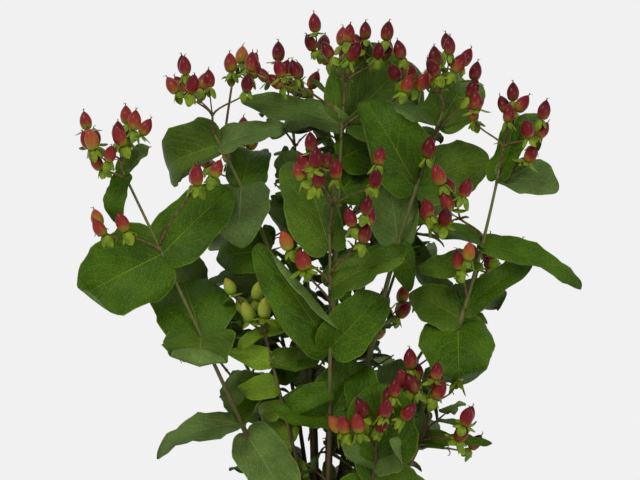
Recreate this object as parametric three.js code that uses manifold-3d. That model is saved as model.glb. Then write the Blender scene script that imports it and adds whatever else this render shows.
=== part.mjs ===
// A potted St John's wort: a young shrubby hypericum with red fruit, about half a metre tall, in a plain pot.
// Millimetres, +Z up, origin in the middle of the pot's flat underside. +X is to the right of someone who
// stands in front of the plant, and -Y points towards them.

import * as THREE from "three";
import { mergeVertices } from "three/addons/utils/BufferGeometryUtils.js";
import Module from "manifold-3d";

const wasm = await Module();
wasm.setup();

// Driving dimensions
const CLEARANCE = 0.3; // gap between pieces that touch
const SMALLEST_DETAIL = 0.02;
const POT_HEIGHT = 140;
const POT_TOP_RADIUS = 80; // outside, over the rolled rim
const POT_FOOT_RADIUS = 56;
const POT_WALL = 5;
const POT_FLOOR = 9;
const RIM_HEIGHT = 26;
const RIM_STEP = 4; // how far the rim stands out from the wall
const DRAIN_RADIUS = 4.5;
const DRAIN_CIRCLE = 32;
const SOIL_DEPTH_BELOW_RIM = 16;
const SOIL_LEVEL = POT_HEIGHT - SOIL_DEPTH_BELOW_RIM;
const LOWEST_GROWTH = SOIL_DEPTH_BELOW_RIM + 5; // above the soil, so that leaves hang clear of the rim

const CROWN_RADIUS = 25; // the woody crown at soil level, without its flare
const CROWN_FLARE = 4;
const CROWN_HEIGHT = 15;
const CROWN_SEGMENTS = 14;
const FOOT_DEPTH = 5; // how deep a stem is let into the crown before it is cut clear of it
const FOOT_SPACING = 8.6; // between the stems where they leave the crown
const BOUGH_STEPS = 3;
const BOUGH_SIDES = 5;
const SHOOT_STEPS = 5;
const SHOOT_SIDES = 3;
const BUDDING_BELOW = 9; // from a stem's lowest leaves down to where its bare bough ends
const BOUGH_RADIUS = 2.3; // a stem at its foot
const SHOOT_RADIUS = 1.5; // a stem where its leaves begin
const TIP_RADIUS = 0.8;
const TWIG_RADIUS = 0.95;
const FORK_RADIUS = 1.3; // the swelling where a twig divides
const TWIG_START = 0.5; // a side twig where it leaves its fork
const STALK_RADIUS = 0.6; // a single fruit's own stalk
const STEM_CLEARANCE = 0.7;
const TWIG_CLEARANCE = 0.4;
const FRUIT_CLEARANCE = 0.8;

const RAY_TILT = 58; // from a cluster's axis, with three rays or more
const FEW_RAY_TILT = 40;
const TOP_STALK_SHARE = 0.75; // the stalk of a cluster's end fruit, as a share of its rays
const RAY_STALK = 8;
const SIDE_STALK = 6;
const FRUIT_SPACING = 11.8;

const LEAF_THICKNESS = 0.9;
const LEAF_BREADTH = 0.68; // width of a leaf as a share of its length
const LOBE_REACH = 0.085; // how far the lobes reach back past the midrib's points, as a share of the length
const WIDEST = 0.485;
const MARGIN_ROUNDING = 0.82;
const BASE_FULLNESS = 0.24; // how much wider the leaf is towards its base than towards its tip
const LEAF_RIBS = 3;
const NECK_REACH = 2.2; // from the middle of the stem to where the blade widens
const NECK_WIDTH = 1.5;
const LEAF_CLEARANCE = 1.3;
const LEAF_CURL = 26; // degrees from base to tip
const LEAF_FOLD = 13; // degrees that each half rises from the midrib

const FRUIT_LENGTH = 13;
const FRUIT_RADIUS = 4.6;
const FRUIT_WAIST = 0.46; // height of its widest ring, as a share of its length
const SEPAL_LENGTH = 5.6;
const SEPAL_ROOT = 2.4;
const SEPAL_DROOP = 2;

// A small generator of repeatable chance.
class Dice {
  constructor(seed) {
    this.state = seed;
  }
  roll() {
    this.state = (this.state * 16807) % 2147483647;
    return this.state / 2147483647;
  }
  near(spread) {
    return (2 * this.roll() - 1) * spread;
  }
}

const vector = (x, y, z) => new THREE.Vector3(x, y, z);
const radians = (degrees) => (degrees * Math.PI) / 180;
const UP = vector(0, 0, 1);
const VIEWER = vector(0, -1, 0);

// Direction of a leaf or twig as it is seen from the front: way is its angle in that view, anticlockwise from
// the right, and toward is how far it points at the viewer.
function seenDirection(way, toward) {
  const flat = Math.cos(radians(toward));
  return vector(Math.cos(radians(way)) * flat, -Math.sin(radians(toward)), Math.sin(radians(way)) * flat);
}

// Direction by compass and rise, for growth that is placed by rule.
function grownDirection(azimuth, rise) {
  const flat = Math.cos(radians(rise));
  const turn = radians(azimuth);
  return vector(Math.cos(turn) * flat, Math.sin(turn) * flat, Math.sin(radians(rise)));
}

// The part of a direction that lies square to an axis, at unit length.
function squareTo(axis, direction) {
  return direction.clone().addScaledVector(axis, -direction.dot(axis)).normalize();
}

// The stems that show from the front, measured above the soil from the middle of the crown: a point halfway
// along, the tip, and a row for each pair of leaves [height, leaf, leaf] with leaf = [way, toward, roll,
// length, breadth]. The fruit cluster that ends the stem is [way, toward, stalk, ray, fruits], and the side
// clusters are the same with their height first.
const FRONT_STEMS = {
  left: {
    middle: [-54, -14, 90],
    tip: [-130, -26, 253],
    pairs: [
      [90, [187, 10, 62, 60, 0.6], [40, 4, -50, 54, 0.55]],
      [84, [-56, 14, 185, 60, 0.6]],
      [146, [108, -24, 8, 56, 0.95], [-92, 70, 4, 50, 0.95]],
      [199, [206, 14, 5, 62, 0.9], [46, -4, -8, 64, 0.7]],
      [250, [250, 20, 30, 34, 0.5], [62, -35, -40, 34, 0.5]],
    ],
    fruit: [96, 8, 6, 16, 9],
    sides: [[200, 150, 26, 22, 10, 3], [201, 66, 26, 32, 8, 3]],
  },
  left_centre: {
    middle: [-16, 8, 135],
    tip: [-72, 2, 277],
    pairs: [
      [200, [178, 5, 30, 42, 0.8]],
      [243, [-95, 52, 5, 44, 0.95], [76, -30, 0, 46, 0.7]],
      [270, [24, 12, -46, 46, 0.6], [192, -5, 20, 54, 0.8]],
    ],
    fruit: [96, 5, 12, 24, 10],
    sides: [],
  },
  centre: {
    middle: [3, -28, 100],
    tip: [3, -44, 212],
    pairs: [
      [95, [172, 10, 30, 36, 0.7], [60, -8, 0, 52, 0.7]],
      [139, [122, 24, 10, 84, 0.45], [46, 22, 5, 56, 0.6]],
      [177, [36, 20, -40, 58, 0.55], [-100, 40, 40, 26, 0.7]],
      [202, [107, -16, 0, 88, 0.5]],
      [208, [66, -26, 0, 54, 0.5]],
    ],
    fruit: [84, 16, 18, 24, 10],
    sides: [[186, 46, 34, 26, 11, 4], [180, 140, 34, 36, 6, 1]],
  },
  tall: {
    middle: [5, 20, 150],
    tip: [12, 22, 296],
    pairs: [
      [238, [50, -20, 0, 50, 0.8], [215, -10, 0, 44, 0.7]],
      [284, [161, 12, 150, 76, 0.36], [45, -12, 0, 78, 0.74]],
      [291, [-12, -20, 10, 48, 0.8]],
    ],
    fruit: [84, 5, 16, 26, 13],
    sides: [],
  },
  right_centre: {
    middle: [33, 8, 150],
    tip: [77, 4, 292],
    pairs: [
      [206, [98, -14, 180, 50, 0.74], [-75, 30, -10, 34, 0.5]],
      [243, [119, 10, 5, 70, 0.62], [25, -6, -5, 54, 0.74]],
      [282, [150, 20, 40, 34, 0.6], [58, -22, 0, 60, 0.62]],
    ],
    fruit: [100, 5, 12, 23, 10],
    sides: [[246, 70, 30, 15, 5, 1]],
  },
  right: {
    middle: [74, -14, 118],
    tip: [112, -22, 254],
    pairs: [
      [206, [-15, 4, -40, 78, 0.46], [158, 8, 60, 48, 0.5]],
      [152, [-96, 56, 5, 50, 1.0], [-20, -20, -30, 34, 0.7]],
      [157, [172, 8, 20, 48, 0.8]],
      [163, [62, 12, -30, 62, 0.42]],
      [194, [186, 14, 24, 40, 0.5]],
      [247, [4, 10, -36, 42, 0.66], [72, -6, -50, 60, 0.44]],
    ],
    fruit: [80, 10, 14, 22, 9],
    sides: [[209, 142, 34, 24, 14, 7], [170, 104, 40, 22, 6, 2]],
  },
  low_right: {
    middle: [27, -38, 45],
    tip: [32, -54, 84],
    pairs: [
      [58, [-62, 20, 5, 56, 0.9], [98, -20, 10, 92, 0.3]],
      [68, [84, 6, 10, 50, 1.0]],
    ],
    fruit: [70, 44, 8, 10, 7],
    sides: [],
  },
  low_outer: {
    middle: [42, -24, 45],
    tip: [64, -32, 86],
    pairs: [[80, [6, 10, -55, 44, 0.5], [112, -16, 0, 74, 0.34]]],
    fruit: [78, 10, 16, 16, 8],
    sides: [[74, 4, 16, 20, 7, 2]],
  },
  green: {
    middle: [-20, -12, 72],
    tip: [-40, -20, 152],
    pairs: [
      [52, [150, 0, 20, 44, 0.5], [-70, 20, -10, 44, 0.5]],
      [100, [170, -8, 5, 42, 0.5], [25, 5, -20, 32, 0.5]],
      [130, [168, 5, 10, 28, 0.6], [8, 6, -20, 34, 0.5]],
      [149, [168, 8, 40, 28, 0.5], [20, 5, -20, 22, 0.5]],
    ],
    fruit: [140, 6, 5, 7, 4],
    sides: [],
  },
};

// The stems behind, which fill the crown out on its far side: where each tip is, across, back and up.
const BACK_STEMS = [
  [92, 40, 170],
  [66, 84, 232],
  [50, 62, 284],
  [16, 96, 296],
  [-22, 74, 286],
  [-58, 90, 240],
  [-88, 52, 178],
  [-66, 66, 120],
  [30, 84, 132],
];
const BACK_PAIR_SPACING = 40;
const BACK_FIRST_PAIR = 50;
const BACK_LAST_PAIR_BELOW_TIP = 6;
const BACK_LEAF = 60;
const BACK_LEAF_RISE = 22;
const BACK_LEAF_SHRINK = 0.24; // of the length, by the time the stem ends
const BACK_FRUIT = [10, 21, 7]; // stalk, ray, fruits
const BACK_MIDDLE_OUT = 0.42; // a stem's middle, as shares of its tip's distance and height
const BACK_MIDDLE_UP = 0.52;

// Gaps in the front view through which the background shows: middle across and up, half width, half height.
const OPEN_GAPS = [
  [-98, 118, 30, 24],
  [-47, 262, 12, 30],
  [-22, 300, 16, 9],
  [58, 136, 12, 16],
  [38, 176, 9, 24],
  [160, 130, 50, 46],
  [-150, 120, 50, 40],
  [-182, 245, 25, 40],
  [180, 250, 30, 45],
];

function bendOf(foot, middle, tip) {
  const control = middle.clone().multiplyScalar(2).addScaledVector(foot, -0.5).addScaledVector(tip, -0.5);
  return new THREE.QuadraticBezierCurve3(foot, control, tip);
}

// Share of the way along a rising curve at which it reaches a height.
function shareAtHeight(curve, height) {
  let low = 0;
  let high = 1;
  for (let i = 0; i < 40; i++) {
    const share = (low + high) / 2;
    if (curve.getPoint(share).z < height) low = share;
    else high = share;
  }
  return high;
}

// Where the stems stand on the crown: each starts on the side it leans to, and they are moved apart until
// none stands closer than the spacing.
function footholds(tips) {
  const feet = tips.map((tip) => vector(tip.x * 0.13, tip.y * 0.13 + 1, 0));
  for (let pass = 0; pass < 60; pass++) {
    for (let i = 0; i < feet.length; i++) {
      for (let j = i + 1; j < feet.length; j++) {
        const apart = feet[j].clone().sub(feet[i]);
        const short = FOOT_SPACING - apart.length();
        if (short <= 0) continue;
        apart.normalize();
        feet[i].addScaledVector(apart, -short / 2);
        feet[j].addScaledVector(apart, short / 2);
      }
    }
  }
  return feet;
}

// Height of the crown's rounded top at a distance from its axis.
function crownTop(distance) {
  return CROWN_HEIGHT * Math.sqrt(Math.max(0, 1 - (distance / CROWN_RADIUS) ** 2));
}

// The share of a curve that lies a short distance past another share.
function shareBeyond(curve, share, distance) {
  const step = 0.001 * Math.sign(distance);
  const pace = curve.getPoint(share + step).distanceTo(curve.getPoint(share)) / Math.abs(step);
  return share + distance / pace;
}

function planStems() {
  const stems = [];
  for (const [name, row] of Object.entries(FRONT_STEMS)) {
    const [way, toward, ...sizes] = row.fruit;
    stems.push({ ...row, name, front: true, tip: vector(...row.tip), middle: vector(...row.middle),
      axis: seenDirection(way, toward), sizes });
  }
  BACK_STEMS.forEach(([across, back, height], i) => {
    const tip = vector(across, back, height);
    const middle = vector(across * BACK_MIDDLE_OUT, back * BACK_MIDDLE_OUT, height * BACK_MIDDLE_UP);
    stems.push({ name: "back_" + (i + 1), front: false, tip, middle, sizes: BACK_FRUIT });
  });
  const feet = footholds(stems.map((stem) => stem.tip));
  stems.forEach((stem, i) => {
    const foot = feet[i];
    foot.z = crownTop(foot.length()) - FOOT_DEPTH;
    stem.curve = bendOf(foot, stem.middle, stem.tip);
    stem.axis ??= stem.curve.getTangent(1);
    stem.hub = stem.tip.clone().addScaledVector(stem.axis, stem.sizes[0]);
    const lowestPair = stem.front ? Math.min(...stem.pairs.map(([height]) => height)) : BACK_FIRST_PAIR;
    stem.budding = shareAtHeight(stem.curve, lowestPair - BUDDING_BELOW);
    const shootStart = shareBeyond(stem.curve, stem.budding, CLEARANCE);
    const shootEnd = shareBeyond(stem.curve, 1, -CLEARANCE);
    stem.bough = stationsAlong(stem, 0, stem.budding, BOUGH_STEPS);
    stem.shoot = stationsAlong(stem, shootStart, shootEnd, SHOOT_STEPS);
    stem.leaves = [];
    stem.sprays = [];
  });
  return stems;
}

function stemRadius(stem, share) {
  if (share < stem.budding) return THREE.MathUtils.lerp(BOUGH_RADIUS, SHOOT_RADIUS, share / stem.budding);
  return THREE.MathUtils.lerp(SHOOT_RADIUS, TIP_RADIUS, (share - stem.budding) / (1 - stem.budding));
}

function stationsAlong(stem, start, end, steps) {
  return Array.from({ length: steps + 1 }, (_, i) => {
    const share = THREE.MathUtils.lerp(start, end, i / steps);
    const point = stem.curve.getPoint(share);
    return { point, run: stem.curve.getTangent(share), radius: stemRadius(stem, share) };
  });
}

// A leaf's outline by the angle that runs from its base at 0 to its tip at half a turn: how far along the
// midrib and its margin are, and the half width, as shares of the length.
function leafStation(angle, breadth) {
  const towardBase = Math.cos(angle);
  const midrib = 0.5 - 0.5 * towardBase;
  const margin = midrib - LOBE_REACH * Math.max(0, towardBase);
  const half = WIDEST * breadth * Math.sin(angle) ** MARGIN_ROUNDING * (1 + BASE_FULLNESS * towardBase);
  return { midrib, margin, half };
}

// A point of the leaf's bent middle surface, and the direction square to it there.
function onLeaf(leaf, share, side, half) {
  const turn = leaf.curl * share;
  const reach = Math.abs(leaf.curl) < 1e-6 ? share : Math.sin(turn) / leaf.curl;
  const drop = Math.abs(leaf.curl) < 1e-6 ? 0 : (1 - Math.cos(turn)) / leaf.curl;
  const normal = leaf.normal.clone().multiplyScalar(Math.cos(turn)).addScaledVector(leaf.way, Math.sin(turn));
  const point = leaf.base
    .clone()
    .addScaledVector(leaf.way, reach * leaf.length)
    .addScaledVector(leaf.normal, -drop * leaf.length)
    .addScaledVector(leaf.across, side * half * leaf.length * Math.cos(leaf.fold))
    .addScaledVector(normal, half * leaf.length * Math.sin(leaf.fold));
  return { point, normal };
}

function leafRibs(leaf) {
  const ribs = [{ centre: leaf.base.clone(), normal: leaf.normal }];
  const ribCount = leaf.seen ? LEAF_RIBS : LEAF_RIBS - 1;
  for (let i = 1; i <= ribCount; i++) {
    const { midrib, margin, half } = leafStation((i * Math.PI) / (ribCount + 1), leaf.breadth);
    const middle = onLeaf(leaf, midrib, 0, 0);
    const left = onLeaf(leaf, margin, -1, half).point;
    const right = onLeaf(leaf, margin, 1, half).point;
    ribs.push({ centre: middle.point, normal: middle.normal, left, right });
  }
  const end = onLeaf(leaf, 1, 0, 0);
  ribs.push({ centre: end.point, normal: end.normal });
  return ribs;
}

// What the clearance rule knows of a piece: its triangles, and the edges that may not pass through others.
function leafOutline(leaf) {
  const ribs = leafRibs(leaf);
  const faces = [];
  const edges = [];
  for (let i = 1; i < ribs.length; i++) {
    const [a, b] = [ribs[i - 1], ribs[i]];
    const lifted = (rib, point, lift) => point.clone().addScaledVector(rib.normal, lift * LEAF_CLEARANCE);
    for (const side of ["left", "right"]) {
      const from = a[side] ?? a.centre;
      const to = b[side] ?? b.centre;
      if (a[side]) faces.push([a.centre, a[side], to]);
      if (b[side]) faces.push([a.centre, to, b.centre]);
      for (const lift of [-1, 1]) {
        edges.push([lifted(a, from, lift), lifted(b, to, lift)]);
        if (b[side]) edges.push([lifted(b, to, lift), lifted(b, b.centre, lift)]);
      }
    }
    edges.push([lifted(b, b.centre, -1), lifted(b, b.centre, 1)]);
  }
  return { faces, edges };
}

function fruitOutline({ foot, axis, size }) {
  const ring = (height, radius) => ({
    point: foot.clone().addScaledVector(axis, height),
    run: axis,
    radii: radius > 0 ? Array(6).fill(radius + FRUIT_CLEARANCE) : [0],
  });
  const rings = ringsOf([
    ring(-3, 0),
    ring(-1, SEPAL_LENGTH * size),
    ring(FRUIT_LENGTH * FRUIT_WAIST * size, FRUIT_RADIUS * size),
    ring(FRUIT_LENGTH * size + 1, 0),
  ]);
  const faces = [];
  const edges = [[rings[0][0], rings[3][0]]];
  for (let i = 0; i < 6; i++) {
    const next = (i + 1) % 6;
    const [low, high] = [rings[1], rings[2]];
    faces.push([rings[0][0], low[next], low[i]], [low[i], low[next], high[i]]);
    faces.push([low[next], high[next], high[i]], [high[i], high[next], rings[3][0]]);
    edges.push([rings[0][0], low[i]], [low[i], low[next]], [low[i], high[i]], [high[i], high[next]]);
    edges.push([high[i], rings[3][0]], [low[i], low[(i + 3) % 6]]);
  }
  return { faces, edges };
}

// A twig's outline is the lines along its sides, and two strips that cross in its middle.
function twigOutline(from, to, radius) {
  const edges = [];
  const faces = [];
  for (const direction of squares(to.clone().sub(from).normalize())) {
    const [a, b] = [1, -1].map((hand) => from.clone().addScaledVector(direction, hand * radius));
    const [c, d] = [1, -1].map((hand) => to.clone().addScaledVector(direction, hand * radius));
    edges.push([a, c], [b, d]);
    faces.push([a, b, c], [b, d, c]);
  }
  return { faces, edges };
}

// Two directions square to an axis and to each other.
function squares(axis) {
  const side = squareTo(axis, Math.abs(axis.y) < 0.9 ? vector(0, 1, 0) : vector(1, 0, 0));
  return [side, axis.clone().cross(side)];
}

function boxOf(edges, faces) {
  const box = new THREE.Box3();
  for (const points of [...edges, ...faces]) points.forEach((point) => box.expandByPoint(point));
  return box;
}

function edgeMeetsFace([from, to], [a, b, c]) {
  const run = to.clone().sub(from);
  const first = b.clone().sub(a);
  const second = c.clone().sub(a);
  const across = run.clone().cross(second);
  const size = first.dot(across);
  if (Math.abs(size) < 1e-9) return false;
  const offset = from.clone().sub(a);
  const u = offset.dot(across) / size;
  if (u < 0 || u > 1) return false;
  const turned = offset.cross(first);
  const v = run.dot(turned) / size;
  if (v < 0 || u + v > 1) return false;
  const share = second.dot(turned) / size;
  return share >= 0 && share <= 1;
}

const edgesMeet = (edges, faces) => edges.some((edge) => faces.some((face) => edgeMeetsFace(edge, face)));

// Everything that has been placed so far. A new piece fits if it passes through none of it.
class Space {
  constructor() {
    this.taken = [];
  }
  fits(outline, kin) {
    const box = boxOf(outline.edges, outline.faces);
    return !this.taken.some(
      (other) =>
        !kin.includes(other.kin) &&
        box.intersectsBox(other.box) &&
        (edgesMeet(outline.edges, other.faces) || edgesMeet(other.edges, outline.faces)),
    );
  }
  take(outline, kin) {
    this.taken.push({ ...outline, kin, box: boxOf(outline.edges, outline.faces) });
  }
}

// The ways a leaf may give way when its first place is taken: turn across, turn up, and size.
const LEAF_YIELDS = [
  [0, 0, 1], [0, 8, 1], [0, -8, 1], [9, 0, 1], [-9, 0, 1], [0, 16, 0.96], [0, -16, 0.96], [16, 8, 0.92],
  [-16, 8, 0.92], [16, -10, 0.88], [-16, -10, 0.88], [0, 26, 0.86], [26, 0, 0.84], [-26, 0, 0.84],
  [0, -26, 0.8], [38, 12, 0.74], [-38, 12, 0.74], [0, 0, 0.66], [20, 30, 0.66], [-20, 30, 0.66],
];

function turned(leaf, [across, up, size]) {
  const way = leaf.way.clone().applyAxisAngle(leaf.normal, radians(across));
  way.applyAxisAngle(leaf.across, radians(-up));
  const normal = squareTo(way, leaf.normal);
  return { ...leaf, way, normal, across: way.clone().cross(normal), length: leaf.length * size };
}

function inOpenGap(point) {
  return OPEN_GAPS.some(([x, z, wide, tall]) => Math.hypot((point.x - x) / wide, (point.z - z) / tall) < 1);
}

// Places a leaf, clear of all but its own stem and the leaves of its own pair, or gives up on it.
function placeLeaf(space, leaf, stem, pair) {
  for (const step of LEAF_YIELDS) {
    const tried = turned(leaf, step);
    const outline = leafOutline(tried);
    const points = outline.faces.flat();
    const astray = points.some(({ z }) => z < LOWEST_GROWTH) || (!leaf.seen && points.some(inOpenGap));
    if (astray || !space.fits(outline, [stem.name, pair])) continue;
    space.take(outline, pair);
    stem.leaves.push(tried);
    return;
  }
}

function makeLeaf(base, way, facing, roll, length, breadth, dice, seen) {
  const normal = squareTo(way, facing).applyAxisAngle(way, radians(roll));
  const curl = radians(LEAF_CURL + dice.near(14));
  const fold = radians(LEAF_FOLD + dice.near(6));
  return { base, way, normal, across: way.clone().cross(normal), length, breadth, seen, curl, fold };
}

// A leaf that points well towards or away from the viewer faces up, and any other faces the viewer.
function seenLeaf(base, [way, toward, roll, length, breadth], dice) {
  const facing = Math.abs(toward) > 35 ? UP : VIEWER;
  return makeLeaf(base, seenDirection(way, toward), facing, roll, length, breadth, dice, true);
}

// The ways a fruit's foot may be moved when its first place is taken: across, back, up.
const FRUIT_YIELDS = [
  [0, 0, 0], [0, 0, 4], [0, -5, 0], [0, 5, 0], [5, 0, 2], [-5, 0, 2], [0, 0, 8], [0, -9, 3], [0, 9, 3],
  [8, 0, 4], [-8, 0, 4], [0, -14, 0], [0, 14, 0], [6, -12, 6], [-6, -12, 6], [12, 0, -4], [-12, 0, -4],
];

// Moves the feet of a cluster's fruits apart until none is closer to another than the spacing.
function spread(fruits) {
  for (let pass = 0; pass < 24; pass++) {
    for (let i = 0; i < fruits.length; i++) {
      for (let j = i + 1; j < fruits.length; j++) {
        const apart = fruits[j].foot.clone().sub(fruits[i].foot);
        const short = FRUIT_SPACING - apart.length();
        if (short <= 0) continue;
        apart.normalize();
        fruits[i].foot.addScaledVector(apart, -short / 2);
        fruits[j].foot.addScaledVector(apart, short / 2);
      }
    }
  }
}

// A branched fruit cluster: a stalk that ends in a fruit, and rays round it that each end in a fruit with one
// more on either side. Each fruit carries the path of twigs that leads to it.
function growCluster(space, { base, lift, axis, hub, sizes, kin }, dice) {
  const [, ray, count] = sizes;
  const [side, other] = squares(axis);
  const fruits = [];
  const rays = Math.ceil((count - 1) / 3);
  const phase = dice.roll() * 360;
  const addFruit = (path, direction, stalkLength) => {
    const foot = path.at(-1).clone().addScaledVector(direction, stalkLength);
    fruits.push({ path, foot, size: 1 + dice.near(0.1) });
  };
  addFruit([base, hub], axis, ray * TOP_STALK_SHARE);
  fruits[0].lift = lift;
  for (let i = 0; i < rays; i++) {
    const turn = radians(phase + (i * 360) / rays + dice.near(12));
    const out = side.clone().multiplyScalar(Math.cos(turn)).addScaledVector(other, Math.sin(turn));
    const tilt = radians(rays > 2 ? RAY_TILT + dice.near(8) : FEW_RAY_TILT);
    const reach = out.clone().multiplyScalar(Math.sin(tilt)).addScaledVector(axis, Math.cos(tilt));
    const fork = hub.clone().addScaledVector(reach, ray * (1 + dice.near(0.15)));
    const edge = reach.clone().cross(axis).normalize();
    const ahead = reach.clone().multiplyScalar(0.5).addScaledVector(axis, 0.8);
    for (const hand of [0, 1, -1].slice(0, count - 1 - i * 3)) {
      const direction = ahead.clone().addScaledVector(reach, hand ? 0.35 : 0);
      direction.addScaledVector(edge, hand * 0.75).normalize();
      addFruit(hand ? [fork] : [hub, fork], direction, hand ? SIDE_STALK : RAY_STALK);
    }
  }
  spread(fruits);
  const kept = [];
  for (const fruit of fruits) {
    const fork = fruit.path.at(-1);
    fruit.axis = fruit.foot.clone().sub(fork).normalize().multiplyScalar(0.8).add(UP).normalize();
    for (const step of FRUIT_YIELDS) {
      const foot = fruit.foot.clone().add(vector(...step));
      const tried = { ...fruit, foot };
      const line = fork === hub ? [hub, foot] : [hub, fork, foot];
      const pieces = [fruitOutline(tried)];
      for (let k = 1; k < line.length; k++) {
        pieces.push(twigOutline(line[k - 1], line[k], TWIG_RADIUS + TWIG_CLEARANCE));
      }
      if (pieces.some((piece) => !space.fits(piece, [kin]))) continue;
      for (const piece of pieces) space.take(piece, kin);
      kept.push(tried);
      break;
    }
  }
  return { base, lift, hub, fruits: kept };
}

function growSideCluster(space, stem, [height, way, toward, ...sizes], dice) {
  const base = stem.curve.getPoint(shareAtHeight(stem.curve, height));
  const axis = seenDirection(way, toward);
  const hub = base.clone().addScaledVector(axis, sizes[0]);
  const kin = stem.name + " side " + height;
  const stalk = twigOutline(base, hub, TWIG_RADIUS + TWIG_CLEARANCE);
  const ownLeaves = stem.pairs.map((pair) => stem.name + pair[0]);
  if (!space.fits(stalk, [stem.name, ...ownLeaves])) return;
  space.take(stalk, kin);
  stem.sprays.push(growCluster(space, { base, axis, hub, sizes, kin }, dice));
}

function growEndCluster(space, stem, dice) {
  const { tip, axis, hub, sizes } = stem;
  const lift = stem.curve.getTangent(1);
  stem.endSpray = growCluster(space, { base: tip, lift, axis, hub, sizes, kin: stem.name + " end" }, dice);
}

function takeLine(space, stations, kin) {
  for (let i = 1; i < stations.length; i++) {
    const [from, to] = [stations[i - 1], stations[i]];
    space.take(twigOutline(from.point, to.point, from.radius + STEM_CLEARANCE), kin);
  }
}

// The whole plant above the crown, placed piece by piece. Stems come first, then what shows from the front,
// then what fills out the back.
function growPlant() {
  const stems = planStems();
  const front = stems.filter((stem) => stem.front);
  const space = new Space();
  for (const stem of stems) {
    takeLine(space, stem.bough, stem.name + " bough");
    takeLine(space, stem.shoot, stem.name);
    space.take(twigOutline(stem.tip, stem.hub, TWIG_RADIUS + TWIG_CLEARANCE), stem.name + " end");
  }
  const dice = new Dice(20231);
  for (const stem of front) {
    for (const [height, ...leaves] of stem.pairs) {
      const base = stem.curve.getPoint(shareAtHeight(stem.curve, height));
      for (const row of leaves) placeLeaf(space, seenLeaf(base, row, dice), stem, stem.name + height);
    }
  }
  for (const stem of front) {
    growEndCluster(space, stem, dice);
    for (const row of stem.sides) growSideCluster(space, stem, row, dice);
  }
  for (const stem of stems.filter((each) => !each.front)) growBackStem(space, stem, dice);
  return stems;
}

// A stem behind: its fruit cluster, then pairs of leaves up its length, each pair turned square to the last.
function growBackStem(space, stem, dice) {
  growEndCluster(space, stem, dice);
  const { x, y, z: height } = stem.tip;
  const outward = (Math.atan2(y, x) * 180) / Math.PI;
  const facing = UP.clone().addScaledVector(grownDirection(outward, 0), 0.9);
  const turn = dice.near(30);
  const pairs = Math.max(2, Math.round((height - BACK_FIRST_PAIR) / BACK_PAIR_SPACING) + 1);
  const reach = height - BACK_LAST_PAIR_BELOW_TIP - BACK_FIRST_PAIR;
  for (let pair = 0; pair < pairs; pair++) {
    const rise = BACK_FIRST_PAIR + (reach * pair) / (pairs - 1);
    const base = stem.curve.getPoint(shareAtHeight(stem.curve, rise));
    for (const half of [0, 180]) {
      const azimuth = outward + turn + pair * 90 + half + dice.near(14);
      const way = grownDirection(azimuth, BACK_LEAF_RISE + dice.near(20));
      const length = BACK_LEAF * (1 - BACK_LEAF_SHRINK * (rise / height)) * (1 + dice.near(0.1));
      const leaf = makeLeaf(base, way, facing, dice.near(18), length, LEAF_BREADTH, dice, false);
      placeLeaf(space, leaf, stem, stem.name + rise);
    }
  }
}

function meshOf(points, triangles) {
  const geometry = new THREE.BufferGeometry();
  const numbers = points.flatMap(({ x, y, z }) => [x, y, z]);
  geometry.setAttribute("position", new THREE.Float32BufferAttribute(numbers, 3));
  geometry.setIndex(triangles);
  return geometry;
}

// The faces between two rings that start in the same direction, stepping along whichever ring lags behind.
function band(triangles, lower, upper) {
  let i = 0;
  let j = 0;
  while (i < lower.length || j < upper.length) {
    const lowerNext = lower.length > 1 ? (i + 1) / lower.length : 2;
    const upperNext = upper.length > 1 ? (j + 1) / upper.length : 2;
    const [p, q] = [lower[i % lower.length], upper[j % upper.length]];
    if (lowerNext <= upperNext) {
      if (lowerNext > 1) break;
      triangles.push(p, lower[(i + 1) % lower.length], q);
      i += 1;
    } else {
      if (upperNext > 1) break;
      triangles.push(p, upper[(j + 1) % upper.length], q);
      j += 1;
    }
  }
}

// A closed surface over a row of rings. A ring of one point closes an end, and any other end is closed flat.
function skin(rings) {
  const points = rings.flat();
  const triangles = [];
  const numbers = [];
  let start = 0;
  for (const ring of rings) {
    numbers.push(ring.map((_, k) => start + k));
    start += ring.length;
  }
  for (let i = 1; i < rings.length; i++) band(triangles, numbers[i - 1], numbers[i]);
  const [first, last] = [numbers[0], numbers.at(-1)];
  for (let k = 2; k < first.length; k++) triangles.push(first[0], first[k], first[k - 1]);
  for (let k = 2; k < last.length; k++) triangles.push(last[0], last[k - 1], last[k]);
  return meshOf(points, triangles);
}

function solid(geometry) {
  const plain = geometry.clone();
  plain.deleteAttribute("normal");
  plain.deleteAttribute("uv");
  const merged = mergeVertices(plain, 1e-4);
  const made = new wasm.Manifold(new wasm.Mesh({
    numProp: 3,
    vertProperties: merged.attributes.position.array,
    triVerts: new Uint32Array(merged.index.array),
  }));
  if (made.volume() > 0) return made;
  throw new Error("a piece is inside out");
}

function geometryOf(made) {
  const mesh = made.getMesh();
  const geometry = new THREE.BufferGeometry();
  geometry.setAttribute("position", new THREE.Float32BufferAttribute(mesh.vertProperties, 3));
  geometry.setIndex(new THREE.BufferAttribute(mesh.triVerts, 1));
  return geometry;
}

// Joins pieces into one body, without the slivers that crossings leave.
const fuse = (pieces) => geometryOf(wasm.Manifold.union(pieces).simplify(SMALLEST_DETAIL));

// Rings about a row of stations, each square to its own run, and all starting in about the same direction.
// A ring has a point for each of its radii, which lifts may move along the run.
function ringsOf(stations) {
  let side = squares(stations[0].run)[0];
  return stations.map(({ point, run, radii, lifts = [] }) => {
    side = squareTo(run, side);
    const other = run.clone().cross(side);
    return radii.map((radius, k) => {
      const turn = (2 * Math.PI * k) / radii.length;
      return point
        .clone()
        .addScaledVector(side, radius * Math.cos(turn))
        .addScaledVector(other, radius * Math.sin(turn))
        .addScaledVector(run, lifts[k] ?? 0);
    });
  });
}

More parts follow.
